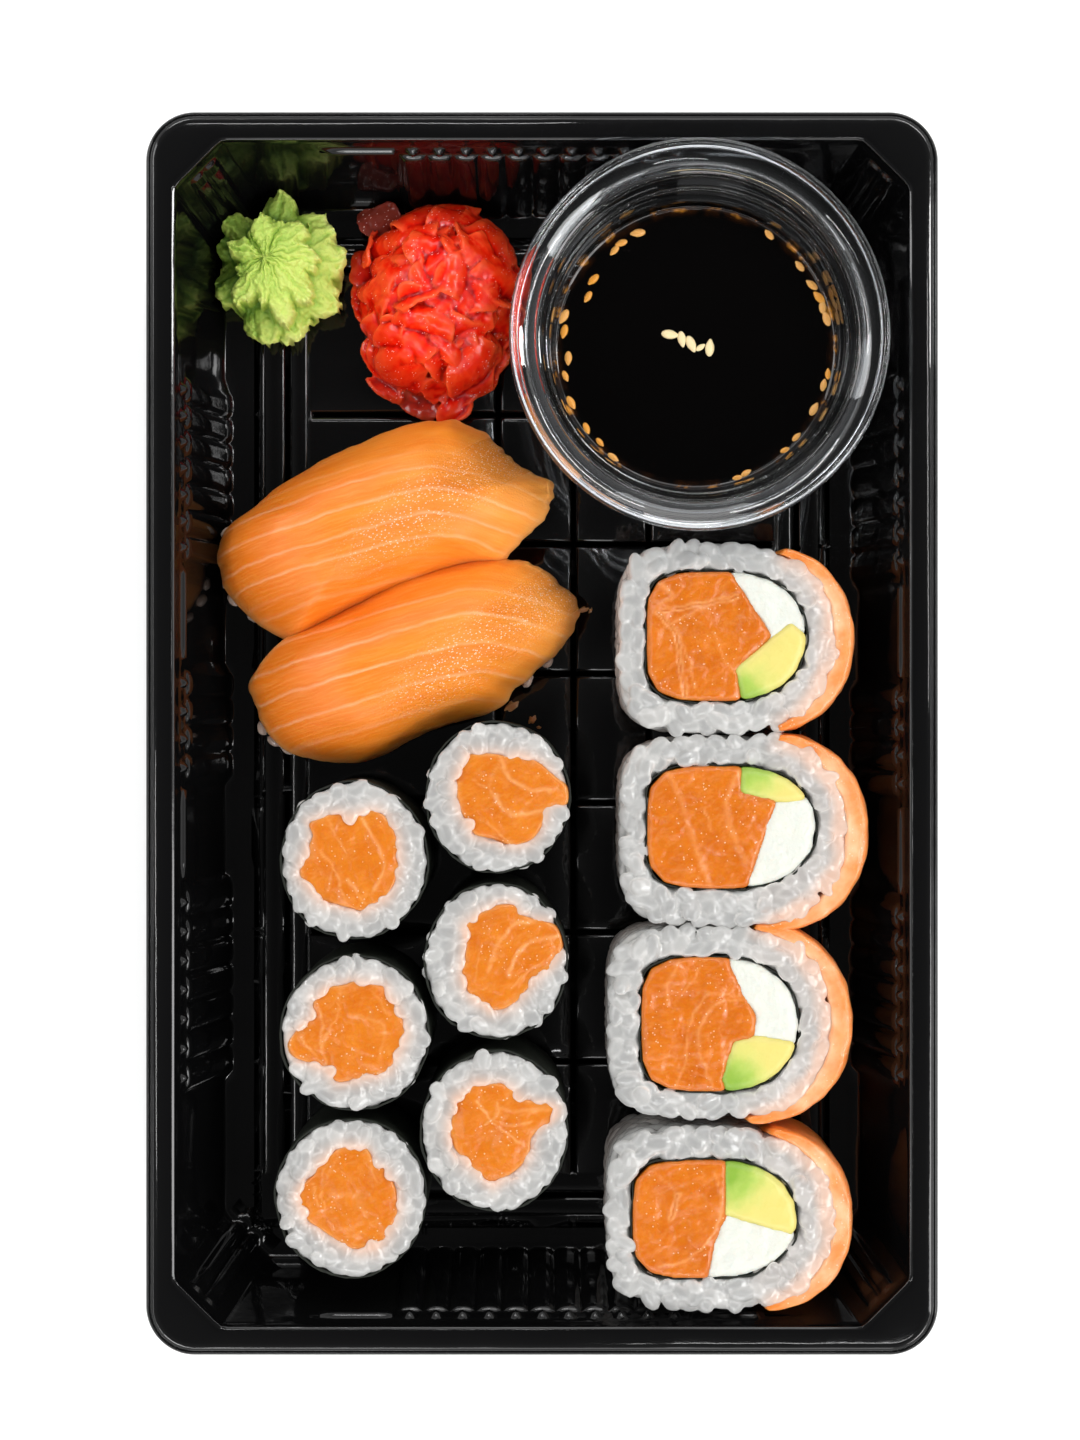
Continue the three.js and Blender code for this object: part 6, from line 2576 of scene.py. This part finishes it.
@dataclass
class Wasabi:
    """A piped rosette of paste whose petals spread from one point.

    Attributes:
        middle: X and Y of the point where the petals meet.
        top: height of that point.
        petals: direction in degrees, length, half width, height at the root and at the tip.
        foot: how far out its underside reaches and how far it climbs to the edge, as shares.
        sides: points round the rosette.
        steps: rings from its edge to its middle.
    """

    middle: Pair = (-49.0, 84.5)
    top: float = 16.6
    petals: tuple = (
        (79, 13.3, 2.7, 11.0, 9.0), (103, 10.4, 1.5, 8.0, 5.5), (126, 12.0, 2.4, 11.5, 9.5),
        (160, 11.9, 2.3, 7.5, 5.5), (184, 9.5, 1.8, 7.0, 4.6), (198, 11.7, 2.3, 7.5, 6.0),
        (225, 11.5, 2.6, 10.5, 8.0), (250, 13.9, 2.7, 9.0, 6.0), (272, 14.4, 3.0, 10.0, 6.5),
        (293, 15.0, 3.0, 10.5, 6.5), (315, 14.8, 3.2, 11.5, 7.5), (338, 14.2, 3.2, 11.5, 8.0),
        (0, 14.1, 3.1, 12.0, 8.5), (24, 13.2, 3.0, 12.0, 9.0), (48, 13.2, 2.8, 11.0, 8.5),
        (92, 7.8, 1.9, 15.8, 14.6), (124, 6.2, 1.4, 14.5, 12.4), (163, 7.6, 1.8, 15.5, 13.4),
        (205, 6.0, 1.6, 14.8, 12.2), (240, 9.6, 2.1, 14.6, 12.2), (262, 8.0, 1.5, 15.4, 13.0),
        (288, 12.2, 2.0, 14.8, 10.8), (322, 10.6, 2.4, 15.2, 12.0), (352, 9.2, 1.9, 15.4, 12.8),
        (18, 8.2, 1.7, 15.6, 13.2), (42, 9.6, 2.2, 15.6, 12.6), (68, 7.6, 1.6, 15.2, 13.0),
    )  # fmt: skip
    foot: tuple = (
        (0.0, 0.0), (0.7, 0.0), (0.82, 0.0), (0.86, 0.15), (0.9, 0.45), (0.95, 0.75), (0.985, 0.93),
    )  # fmt: skip
    sides: int = 420
    steps: int = 120

    def height(self, x: Array, y: Array) -> Array:
        """Measures the height of the paste's upper face.

        Args:
            x: places from the middle along X.
            y: places from the middle along Y.

        Returns:
            One height for each place.
        """
        flat = np.column_stack([x, y, np.zeros(len(x))])
        wide = 0.4 * Ripple(2.8, 3).at(flat) + 0.22 * Ripple(1.1, 4).at(flat)
        far = 0.5 * Ripple(2.0, 5).at(flat) + 0.25 * Ripple(0.8, 6).at(flat)
        made = 1.3 + 9.4 * np.sqrt(np.clip(1 - ((x - 1.8) ** 2 + (y + 0.8) ** 2) / 136.0, 0, 1))
        for number, (degrees, length, half, root, tip) in enumerate(self.petals):
            angle = math.radians(degrees)
            along = x * math.cos(angle) + y * math.sin(angle)
            across = y * math.cos(angle) - x * math.sin(angle)
            across = across + 0.012 * math.sin(number * 2.4) * along**2 + wide
            share = (along + far * smooth_step(0.5, 1.0, along / length)) / length
            swell = 0.22 + 0.78 * smooth_step(0.05, 0.62, share)
            round_off = np.sqrt(np.clip(1 - np.clip((share - 0.62) / 0.38, 0, None) ** 2, 0, 1))
            side = across / np.maximum(1.16 * half * swell * round_off, 0.05)
            ribs = 0.06 * np.sin(across * 5.0 + number) * smooth_step(0.15, 0.5, share)
            crown = 2.3 * np.sqrt(np.clip(1 - side**2, 0, 1)) - 0.5 * ridge(side, 0.2) + ribs
            lift = root - 0.7 + (tip - root) * np.clip(share, 0, 1) ** 1.5 + crown
            made = np.where((share > 0) & (share < 1) & (np.abs(side) < 1), np.maximum(made, lift), made)
        away = np.hypot(x, y)
        hub = self.top - 0.5 - 0.5 * away + 0.25 * np.sin(np.arctan2(y, x) * 11)
        return np.maximum(made, np.where(away < 3.4, hub, 0))

    def build(self) -> None:
        """Makes the rosette as one closed body."""
        angle = even_angles(self.sides)
        cos, sin = np.cos(angle), np.sin(angle)
        reach = np.full(self.sides, 9.5)
        for radius in np.arange(9.5, 15.0, 0.1):
            reach = np.where(self.height(radius * cos, radius * sin) > 4.0, radius, reach)
        reach = (np.roll(reach, 1) + 2 * reach + np.roll(reach, -1)) / 4
        upper = []
        for share in np.linspace(1.0, 0.0, self.steps):
            x, y = reach * share * cos, reach * share * sin
            upper.append(np.column_stack([x, y, self.height(x, y)]))
        rise = upper[0][:, 2] - FOOD_BOTTOM
        lower = []
        for share, climb in self.foot:
            x, y = reach * share * cos, reach * share * sin
            lower.append(np.column_stack([x, y, FOOD_BOTTOM + rise * climb]))
        rosette = solid_body("wasabi_rosette", [ring + (*self.middle, 0) for ring in lower + upper])
        finish_with(rosette, "SMOOTH", factor=0.5, iterations=2)
        points = points_of(rosette)
        # Painted light and shade: low parts and hollows are painted darker, crests and the lower right side,
        # towards the light, paler.
        hull = self.top - 0.035 * ((points[:, :2] - self.middle) ** 2).sum(axis=1)
        crest = 1 - np.clip((hull - points[:, 2]) / 5.0, 0, 1)
        raised = np.clip(0.5 + standing_out(rosette, 70) / 0.9, 0, 1)
        lit = points[:, 0] - self.middle[0] - (points[:, 1] - self.middle[1]) * 0.5
        paint(rosette, "crest", 0.26 * crest + 0.5 * raised + 0.28 * smooth_step(-6, 12, lit) - 0.04)
        along_normals(rosette, 0.09 * Ripple(1.1, 7).at(points) + 0.05 * Ripple(0.5, 8, 24).at(points))
        shape(rosette, kept_in_tray(points_of(rosette)))
        dress(rosette, Slot.WASABI, WasabiPaste("wasabi_paste"), "wasabi")


@dataclass
class Sheet:
    """One folded slice in the heap.

    Attributes:
        middle: X and Y of its middle.
        half: half its length and half its width.
        heading: direction of its length in degrees.
        lift: how high it lies over the heap's surface.
        fold: depth of its folds.
        brown: how brown it is from 0 to 1.
    """

    middle: Pair
    half: Pair
    heading: float
    lift: float
    fold: float
    brown: float = 0.0


@dataclass
class Ginger:
    """A heap of thin folded slices.

    Attributes:
        middle: X and Y of its middle.
        half: its half sizes.
        height: height of the heap.
        filler: how many slices lie scattered over it.
        placed: slices with a place of their own.
        thickness: thickness of a slice.
        voxel: size of the heap's faces before they are thinned out.
    """

    middle: Pair = (-19.0, 78.6)
    half: Pair = (11.6, 14.8)
    height: float = 13.4
    filler: int = 22
    placed: tuple[Sheet, ...] = (
        Sheet((-29.6, 93.0), (4.0, 3.4), 10, 4.2, 0.8, 1.0),
        Sheet((-32.3, 84.6), (3.4, 2.4), 70, 3.0, 0.9, 0.25),
        Sheet((-31.6, 78.2), (4.6, 2.6), 100, 2.0, 1.2),
        Sheet((-30.2, 69.0), (4.0, 2.2), 105, 1.6, 1.0),
        Sheet((-18.2, 91.6), (7.6, 3.6), 0, 1.4, 0.9),
        Sheet((-10.6, 86.8), (6.2, 3.4), -52, 2.2, 1.6),
        Sheet((-12.6, 85.0), (5.4, 2.8), -60, 3.4, 1.4),
        Sheet((-7.4, 79.6), (6.2, 3.0), 85, 1.6, 1.2),
        Sheet((-28.4, 87.8), (4.2, 1.9), 72, 3.2, 1.4),
        Sheet((-19.6, 83.8), (4.4, 3.0), 80, 2.6, 1.6),
        Sheet((-14.2, 78.4), (5.6, 3.8), -68, 2.6, 1.6),
        Sheet((-27.6, 76.8), (4.2, 1.9), 86, 2.6, 0.8),
        Sheet((-21.8, 77.4), (3.6, 2.2), 20, 3.2, 1.9),
        Sheet((-23.2, 71.6), (4.4, 3.0), -30, 2.6, 1.9),
        Sheet((-17.4, 70.4), (4.6, 2.6), 40, 2.2, 0.7),
        Sheet((-25.0, 64.8), (4.6, 2.4), -15, 2.4, 1.2),
        Sheet((-18.6, 63.4), (3.8, 2.8), -5, 2.6, 1.0),
        Sheet((-12.6, 65.8), (6.6, 4.2), 62, 2.8, 2.4),
        Sheet((-8.6, 68.4), (5.2, 2.8), 78, 2.0, 1.2),
        Sheet((-7.6, 73.4), (4.2, 2.6), 95, 1.8, 1.2),
        Sheet((-15.8, 59.4), (4.6, 2.8), 68, 3.0, 0.9),
        Sheet((-28.6, 63.2), (3.6, 2.0), -35, 2.0, 0.6, 0.35),
        Sheet((-22.2, 59.8), (4.6, 2.2), 160, 1.6, 0.7, 0.65),
    )  # fmt: skip
    thickness: float = 0.7
    voxel: float = 0.24

    def build(self) -> None:
        """Makes the heap from a core and slices laid over it, all wet and clinging together."""
        random = np.random.default_rng(8)
        pieces = [self.slice(random, sheet) for sheet in (*self.scattered_sheets(random), *self.placed)]
        for piece in pieces:
            finish_with(piece, "SOLIDIFY", thickness=self.thickness * MM, offset=0.0)
        heap = joined([*pieces, self.core()], "ginger_heap")
        points = shaken(points_of(heap), 0.12, 1.6, 9)
        points[:, 2] = np.maximum(points[:, 2], FLOOR_TOP + 0.02)
        shape(heap, points)
        held = {name: np.empty(len(points), np.float32) for name in ("thin", "brown")}
        for name, values in held.items():
            heap.data.attributes[name].data.foreach_get("value", values)
        tree = tree_of(points)
        finish_with(one_skin(heap, self.voxel, 2), "DECIMATE", ratio=0.6)
        shape(heap, kept_in_tray(points_of(heap)))
        near = np.array([tree.find(point)[1] for point in points_of(heap)])
        for name, values in held.items():
            paint(heap, name, values[near])
        # Painted shade and light: folds darker, crests paler.
        paint(heap, "crest", np.clip(0.5 + standing_out(heap, 30) / 0.55, 0, 1))
        dress(heap, Slot.GINGER, PickledGinger("ginger_in_brine"), "pickled_ginger")

    def scattered_sheets(self, random: Random) -> list[Sheet]:
        """Spreads slices evenly over the heap in a spiral.

        Args:
            random: the source of random draws.

        Returns:
            The slices.
        """
        made = []
        for k in range(self.filler):
            reach = 0.9 * math.sqrt((k + 0.5) / self.filler)
            angle = k * GOLDEN_ANGLE
            x = self.middle[0] + self.half[0] * reach * math.cos(angle)
            y = self.middle[1] + self.half[1] * reach * math.sin(angle)
            half = (random.uniform(4.2, 7.0), random.uniform(3.0, 4.8))
            lift, fold = random.uniform(0.2, 2.8), random.uniform(2.2, 3.8)
            made.append(Sheet((x, y), half, random.uniform(0, 180), lift, fold))
        return made

    def surface(self, x: Array, y: Array) -> Array:
        """Returns the height of the heap's rounded surface at X and Y."""
        reach = np.hypot((x - self.middle[0]) / self.half[0], (y - self.middle[1]) / self.half[1])
        return FOOD_BOTTOM + 0.3 + self.height * np.clip(1 - reach**2.4, 0, 1) ** 0.62

    def core(self) -> Item:
        """Makes the closed heap under the slices.

        Returns:
            The mesh object.
        """
        rings = []
        for reach in (0, 0.9, 0.93, 0.9, 0.82, 0.7, 0.55, 0.38, 0.2, 0):
            half = (self.half[0] * reach, self.half[1] * reach)
            ring = around(self.middle, even_angles(60), half, FOOD_BOTTOM)
            if len(rings) == 2:
                ring[:, 2] += 1.0
            elif len(rings) > 2:
                ring[:, 2] = np.maximum(self.surface(ring[:, 0], ring[:, 1]), FOOD_BOTTOM)
            rings.append(ring)
        item = solid_body("ginger_core", rings)
        paint(item, "thin", 0.0)
        paint(item, "brown", 0.0)
        return item

    def slice(self, random: Random, sheet: Sheet) -> Item:
        """Makes one slice that follows the heap's surface in folds.

        Args:
            random: the source of random draws.
            sheet: the slice's place and form.

        Returns:
            The mesh object.
        """
        item, u, v = grid("ginger_slice", 34, 24)
        p, q = u * 2 - 1, v * 2 - 1
        p, q = p * np.sqrt(1 - q**2 / 2), q * np.sqrt(1 - p**2 / 2)
        far, bearing = np.hypot(p, q), np.arctan2(q, p)
        first, second, third = random.uniform(0, FULL_TURN, 3)
        edge = 1 + 0.1 * np.sin(3 * bearing + first) + 0.06 * np.sin(5 * bearing + second)
        along, across = p * edge * sheet.half[0], q * edge * sheet.half[1]
        slant = random.uniform(-0.6, 0.6)
        pitch = random.uniform(4.0, 6.2)
        run = across * math.cos(slant) + along * math.sin(slant) + 0.05 * along**2 * math.sin(third)
        phase = FULL_TURN * run / pitch + first
        height = sheet.lift + 0.62 * sheet.fold * np.cos(phase) + random.uniform(-0.03, 0.03) * along**2
        height += random.uniform(0.4, 1.2) * far**3 * np.sin(bearing * 2 + third)
        height += 0.1 * far * np.sin(FULL_TURN * (along + 0.5 * across) / 2.6 + second)
        roll_over = 0.9 * pitch / FULL_TURN * np.sin(phase) * min(1.0, sheet.fold / 1.6)
        along, across = along + roll_over * math.sin(slant), across + roll_over * math.cos(slant)
        turn = math.radians(sheet.heading)
        x = sheet.middle[0] + along * math.cos(turn) - across * math.sin(turn)
        y = sheet.middle[1] + along * math.sin(turn) + across * math.cos(turn)
        ground = self.surface(x, y)
        fall_x = ground - self.surface(x + 1.0, y) + self.surface(x - 1.0, y) - ground
        fall_y = ground - self.surface(x, y + 1.0) + self.surface(x, y - 1.0) - ground
        rise = np.column_stack([fall_x, fall_y, np.full(len(x), 2.6)])
        rise /= np.linalg.norm(rise, axis=1)[:, None]
        shape(item, np.column_stack([x, y, ground]) + rise * height[:, None])
        paint(item, "thin", 0.8 * smooth_step(0.7, 1.0, far))
        paint(item, "brown", sheet.brown)
        return item



# ---------------------------------------------------------------- assembly


MAKI = (
    Maki(
        1, (-7.7, -11.0), (12.6, 13.2),
        ((-4.9, 7.2), (-1.0, 7.3), (1.5, 6.9), (4.1, 7.2), (7.5, 5.5), (9.5, 3.7), (11.6, 1.8),
         (11.7, -1.1),
         (8.6, -1.9), (7.8, -4.1), (6.0, -7.0), (2.7, -8.2), (-1.0, -7.0), (-3.8, -6.3), (-5.8, -3.4),
         (-6.8, -0.4), (-7.1, 2.9), (-5.8, 5.9)),
        ((((0.6, 6.8), (1.6, 4.0), (4.8, 1.6), (8.9, 1.2)), 0.42, 0.8),
         (((-0.4, 0.4), (1.4, -2.4), (5.2, -3.0), (8.0, -2.2)), 0.4, 0.8),
         (((-4.4, 3.2), (-2.2, 1.6)), 0.2, 0.6), (((-1.6, -4.4), (1.8, -8.0)), 0.22, 0.6),
         (((0.6, 6.8), (-1.4, 2.0), (-0.4, 0.4)), 0.2, 0.5)),
    ),
    Maki(
        2, (-32.6, -22.0), (12.9, 13.8),
        ((-7.6, 6.2), (-5.0, 7.5), (-2.4, 8.0), (-0.2, 7.6), (3.1, 8.6), (5.2, 7.5), (6.8, 5.2), (7.6, 2.3),
         (7.7, -0.7), (7.0, -3.6), (5.7, -6.2), (3.5, -7.5), (1.3, -8.6), (-1.3, -7.9), (-5.4, -6.8),
         (-7.6, -4.7), (-9.2, -2.1), (-8.1, 1.5), (-7.0, 4.1)),
        ((((1.2, 7.4), (3.2, 4.6), (4.6, 1.8), (5.4, -1.0), (3.6, -5.2)), 0.24, 0.85),
         (((-4.6, 7.0), (-1.6, 1.6)), 0.2, 0.6),
         (((-6.0, 1.8), (-3.6, -1.0), (-2.2, -5.0), (-1.4, -7.8)), 0.2, 0.75),
         (((-3.6, -1.0), (-4.6, -5.6)), 0.18, 0.5),
         (((-1.0, -3.2), (1.8, -7.6)), 0.24, 0.6)),
    ),
    Maki(
        3, (-8.0, -39.5), (12.5, 13.6),
        ((-1.3, 9.0), (2.8, 9.6), (4.8, 7.7), (7.9, 7.0), (10.2, 5.7), (11.2, 3.3), (10.8, 1.1),
         (9.0, -1.3),
         (7.0, -2.7), (5.4, -4.6), (2.7, -7.4), (-0.5, -8.4), (-2.4, -7.4), (-4.6, -5.4), (-5.9, -2.3),
         (-5.4, 0.4), (-5.2, 3.3), (-5.4, 5.9)),
        ((((7.6, 7.4), (3.4, 6.4), (0.8, 3.6), (-0.6, 0.4), (-1.2, -1.6)), 0.36, 0.85),
         (((11.0, 4.4), (6.4, 3.6), (3.4, 0.8), (2.4, -2.2)), 0.32, 0.8),
         (((2.8, -4.8), (5.0, -2.2), (8.6, 0.6)), 0.22, 0.5), (((-2.4, 3.0), (-3.6, -3.4)), 0.16, 0.4)),
    ),
    Maki(
        4, (-32.4, -51.9), (13.0, 13.5),
        ((-4.9, 7.7), (-1.8, 8.3), (0.6, 8.9), (4.9, 7.9), (6.1, 6.3), (7.3, 4.4), (8.5, 1.2), (8.5, -1.1),
         (6.9, -4.3), (5.7, -6.3), (2.6, -7.4), (-0.6, -8.0), (-3.0, -8.2), (-4.9, -6.3), (-6.9, -5.3),
         (-10.4, -3.9), (-11.2, -1.5), (-9.3, 1.2), (-7.3, 3.2), (-6.9, 5.6)),
        ((((-6.4, 5.0), (-5.4, 1.6), (-5.8, -2.0), (-4.8, -5.4)), 0.2, 0.8),
         (((-9.6, 1.0), (-8.0, -2.6), (-5.2, -5.4)), 0.18, 0.7),
         (((-2.6, 7.8), (-3.0, 3.0), (-5.2, -0.6), (-5.4, -4.0)), 0.2, 0.6),
         (((-1.0, 3.2), (2.4, 2.6), (5.2, 1.0), (4.2, -4.2)), 0.34, 0.5),
         (((3.2, 7.4), (5.8, 3.2)), 0.2, 0.4)),
    ),
    Maki(
        5, (-8.2, -68.9), (12.9, 14.0),
        ((-3.0, 8.4), (-0.8, 8.2), (2.4, 7.6), (5.1, 5.4), (8.7, 5.0), (10.6, 3.9), (9.9, 1.9), (6.4, -0.9),
         (5.9, -3.6), (4.3, -6.0), (1.6, -8.0), (-0.4, -9.1), (-3.1, -6.8), (-5.9, -4.2), (-7.5, -1.3),
         (-7.5, 1.5), (-6.7, 3.9), (-6.9, 5.4), (-4.3, 7.4)),
        ((((-3.2, 5.2), (-0.6, 2.0), (3.0, -1.0), (5.2, -2.6)), 0.26, 0.75),
         (((0.6, 3.8), (4.4, 3.6), (9.0, 3.8)), 0.4, 0.5),
         (((-0.4, 2.2), (2.8, 1.0), (6.4, 1.8)), 0.22, 0.6),
         (((0.4, 5.0), (0.6, 3.0), (-1.8, 1.2)), 0.2, 0.8)),
    ),
    Maki(
        6, (-33.2, -80.6), (13.2, 13.9),
        ((-3.0, 7.8), (-0.7, 8.9), (2.5, 8.5), (4.1, 6.0), (5.6, 5.2), (7.0, 3.2), (8.0, 0.1), (8.0, -2.3),
         (7.2, -4.6), (5.8, -7.0), (4.1, -8.6), (1.3, -8.8), (-1.1, -8.0), (-5.0, -5.4), (-7.4, -3.5),
         (-8.9, -0.7), (-8.5, 2.0), (-6.2, 4.0), (-5.4, 6.0)),
        ((((-6.6, 2.8), (-5.6, -1.4)), 0.2, 0.7), (((-4.2, 5.8), (-5.0, 1.6), (-4.6, -1.6)), 0.18, 0.6),
         (((-2.2, 7.6), (-4.4, 2.0)), 0.16, 0.4),
         (((3.6, 5.6), (4.6, 2.8)), 0.2, 0.6), (((-2.4, 0.8), (0.8, 0.2), (2.6, -2.4)), 0.5, 0.35),
         (((-5.6, -5.0), (-1.2, -7.4), (2.6, -8.4)), 0.2, 0.5)),
    ),
)  # fmt: skip

URAMAKI = (
    Uramaki(
        1, (31.5, 16.5, 18.1, 16.6), (31.9, 16.8, 14.0, 11.4), (-63, 60, 4.4), (34.0, 5.0),
        ((((19.6, 22.6), (24.0, 16.4), (26.4, 8.0)), 0.24, 0.7),
         (((21.6, 18.8), (27.4, 21.4), (32.4, 23.6)), 0.3, 0.6),
         (((29.6, 17.2), (31.4, 13.0), (33.2, 10.6)), 0.25, 0.5),
         (((20.4, 25.8), (22.4, 23.8), (20.0, 22.0)), 0.35, 0.8)),
        (((19.6, 21.2), (23.0, 17.6), (23.9, 12.7), (24.7, 6.4)),
         ((20.0, 21.0), (27.3, 22.2), (33.6, 23.6))),
    ),
    Uramaki(
        2, (32.6, -16.9, 19.1, 16.6), (32.8, -16.2, 14.8, 10.8), (-74, 68, 4.8), (35.4, -4.8),
        ((((21.6, -6.2), (24.2, -12.0), (26.0, -18.0), (29.0, -26.2)), 0.5, 0.55),
         (((34.2, -6.8), (31.8, -11.0), (32.6, -16.6), (35.2, -22.0)), 0.5, 0.55),
         (((28.0, -13.0), (29.2, -16.6)), 0.14, 0.8)),
    ),
    Uramaki(
        3, (30.3, -50.1, 18.8, 16.6), (30.8, -50.3, 13.8, 11.8), (-77, 72, 4.6), (32.0, -61.0),
        ((((35.0, -46.0), (30.6, -46.4), (27.6, -50.0), (27.2, -55.0), (29.6, -61.0)), 0.3, 0.7),
         (((34.2, -45.4), (29.0, -45.0), (25.4, -50.4), (24.6, -56.8), (23.0, -61.0)), 0.24, 0.6),
         (((23.6, -38.8), (21.8, -43.4), (21.6, -47.0)), 0.3, 0.6),
         (((27.6, -40.0), (23.8, -45.6)), 0.16, 0.5)),
    ),
    Uramaki(
        4, (30.3, -84.2, 19.0, 16.0), (29.9, -84.0, 14.4, 10.4), (-66, 62, 4.5), (32.6, -75.4),
        ((((29.6, -75.8), (31.0, -80.0), (29.6, -86.4), (24.6, -91.0), (20.2, -92.0)), 0.26, 0.75),
         (((19.8, -76.2), (23.0, -79.0), (22.6, -84.0)), 0.2, 0.35)),
        (((23.6, -79.6), (22.4, -83.6)),),
        narrow=0.18, lean=1.9,
    ),
)  # fmt: skip

NIGIRI = (
    Nigiri(
        1, (-29.4, 38.9), (30.0, 13.4), 28.5,
        ((28.0, 0.45, 0.45), (30.6, 0.35, 0.3), (34.3, 0.3, 0.85), (37.8, 0.3, 0.95), (42.0, 0.34, 1.0),
         (46.1, 0.3, 0.85), (49.0, 0.3, 0.35)),
        -17.5,
        ((-29.3, -6.7), (-27.5, -2.1), (-23.3, 1.2), (-19.2, 4.7), (-14.3, 7.9), (-8.6, 11.1), (-3.6, 13.3),
         (2.1, 15.7), (8.7, 17.4), (13.6, 17.6), (16.9, 16.6), (20.2, 14.4), (23.5, 11.2), (26.3, 8.9),
         (28.8, 7.1), (30.7, 5.9), (30.9, 3.4), (29.6, 0.6), (28.0, -1.7), (25.1, -4.0), (22.6, -6.8),
         (21.2, -8.0), (16.9, -8.4), (12.0, -9.7), (6.2, -11.8), (0.5, -14.0), (-5.3, -16.9), (-9.6, -19.2),
         (-12.7, -21.2), (-15.0, -21.8), (-19.2, -20.4), (-23.3, -18.3), (-26.6, -14.6), (-28.3, -12.0),
         (-28.9, -9.3)),
        -1.0,
        ((-56.9, 36.2, 8.0, 40), (-57.4, 27.2, 5.0, 100), (-56.2, 24.2, 4.6, 130), (-52.6, 21.0, 4.0, 150)),
    ),
    Nigiri(
        2, (-21.9, 13.5), (29.6, 11.8), 27.5,
        ((5.8, 0.4, 0.5), (10.6, 0.34, 0.85), (15.7, 0.34, 1.0), (20.7, 0.34, 1.0), (25.0, 0.3, 0.8)),
        -10.0,
        ((-31.0, -5.3), (-29.2, -2.4), (-25.9, 0.9), (-21.0, 4.2), (-15.2, 6.7), (-9.5, 9.5), (-3.7, 12.6),
         (2.8, 14.9), (8.6, 16.4), (14.3, 16.8), (19.3, 16.5), (22.5, 15.1), (25.8, 13.2), (28.1, 10.3),
         (28.5, 7.5), (27.1, 4.2), (24.2, 0.5), (21.3, -2.0), (18.8, -4.4), (16.8, -5.7), (15.3, -8.1),
         (11.0, -10.3), (6.1, -11.8), (1.2, -13.5), (-2.9, -15.5), (-7.0, -17.6), (-12.0, -19.1),
         (-17.7, -18.6), (-23.5, -17.2), (-26.7, -14.7), (-28.8, -11.8), (-29.9, -8.5)),
        1.0,
        ((-51.0, 0.8, 4.2, 110), (-49.0, -1.5, 4.0, 140), (-46.4, -3.0, 3.8, 150), (-2.6, 9.4, 4.4, 60),
         (1.0, 12.9, 4.2, 50)),
    ),
)  # fmt: skip


def main() -> None:
    """Builds the studio and then the tray with all its food."""
    logging.basicConfig(level=logging.INFO, format="%(name)s: %(message)s")
    parts = [Studio(), Tray(), SauceCup(), SoySauce(), Wasabi(), Ginger(), *NIGIRI, Crumbs(), *MAKI, *URAMAKI]
    for part in parts:
        LOG.info("building %s", type(part).__name__)
        part.build()


if __name__ == "__main__":
    main()
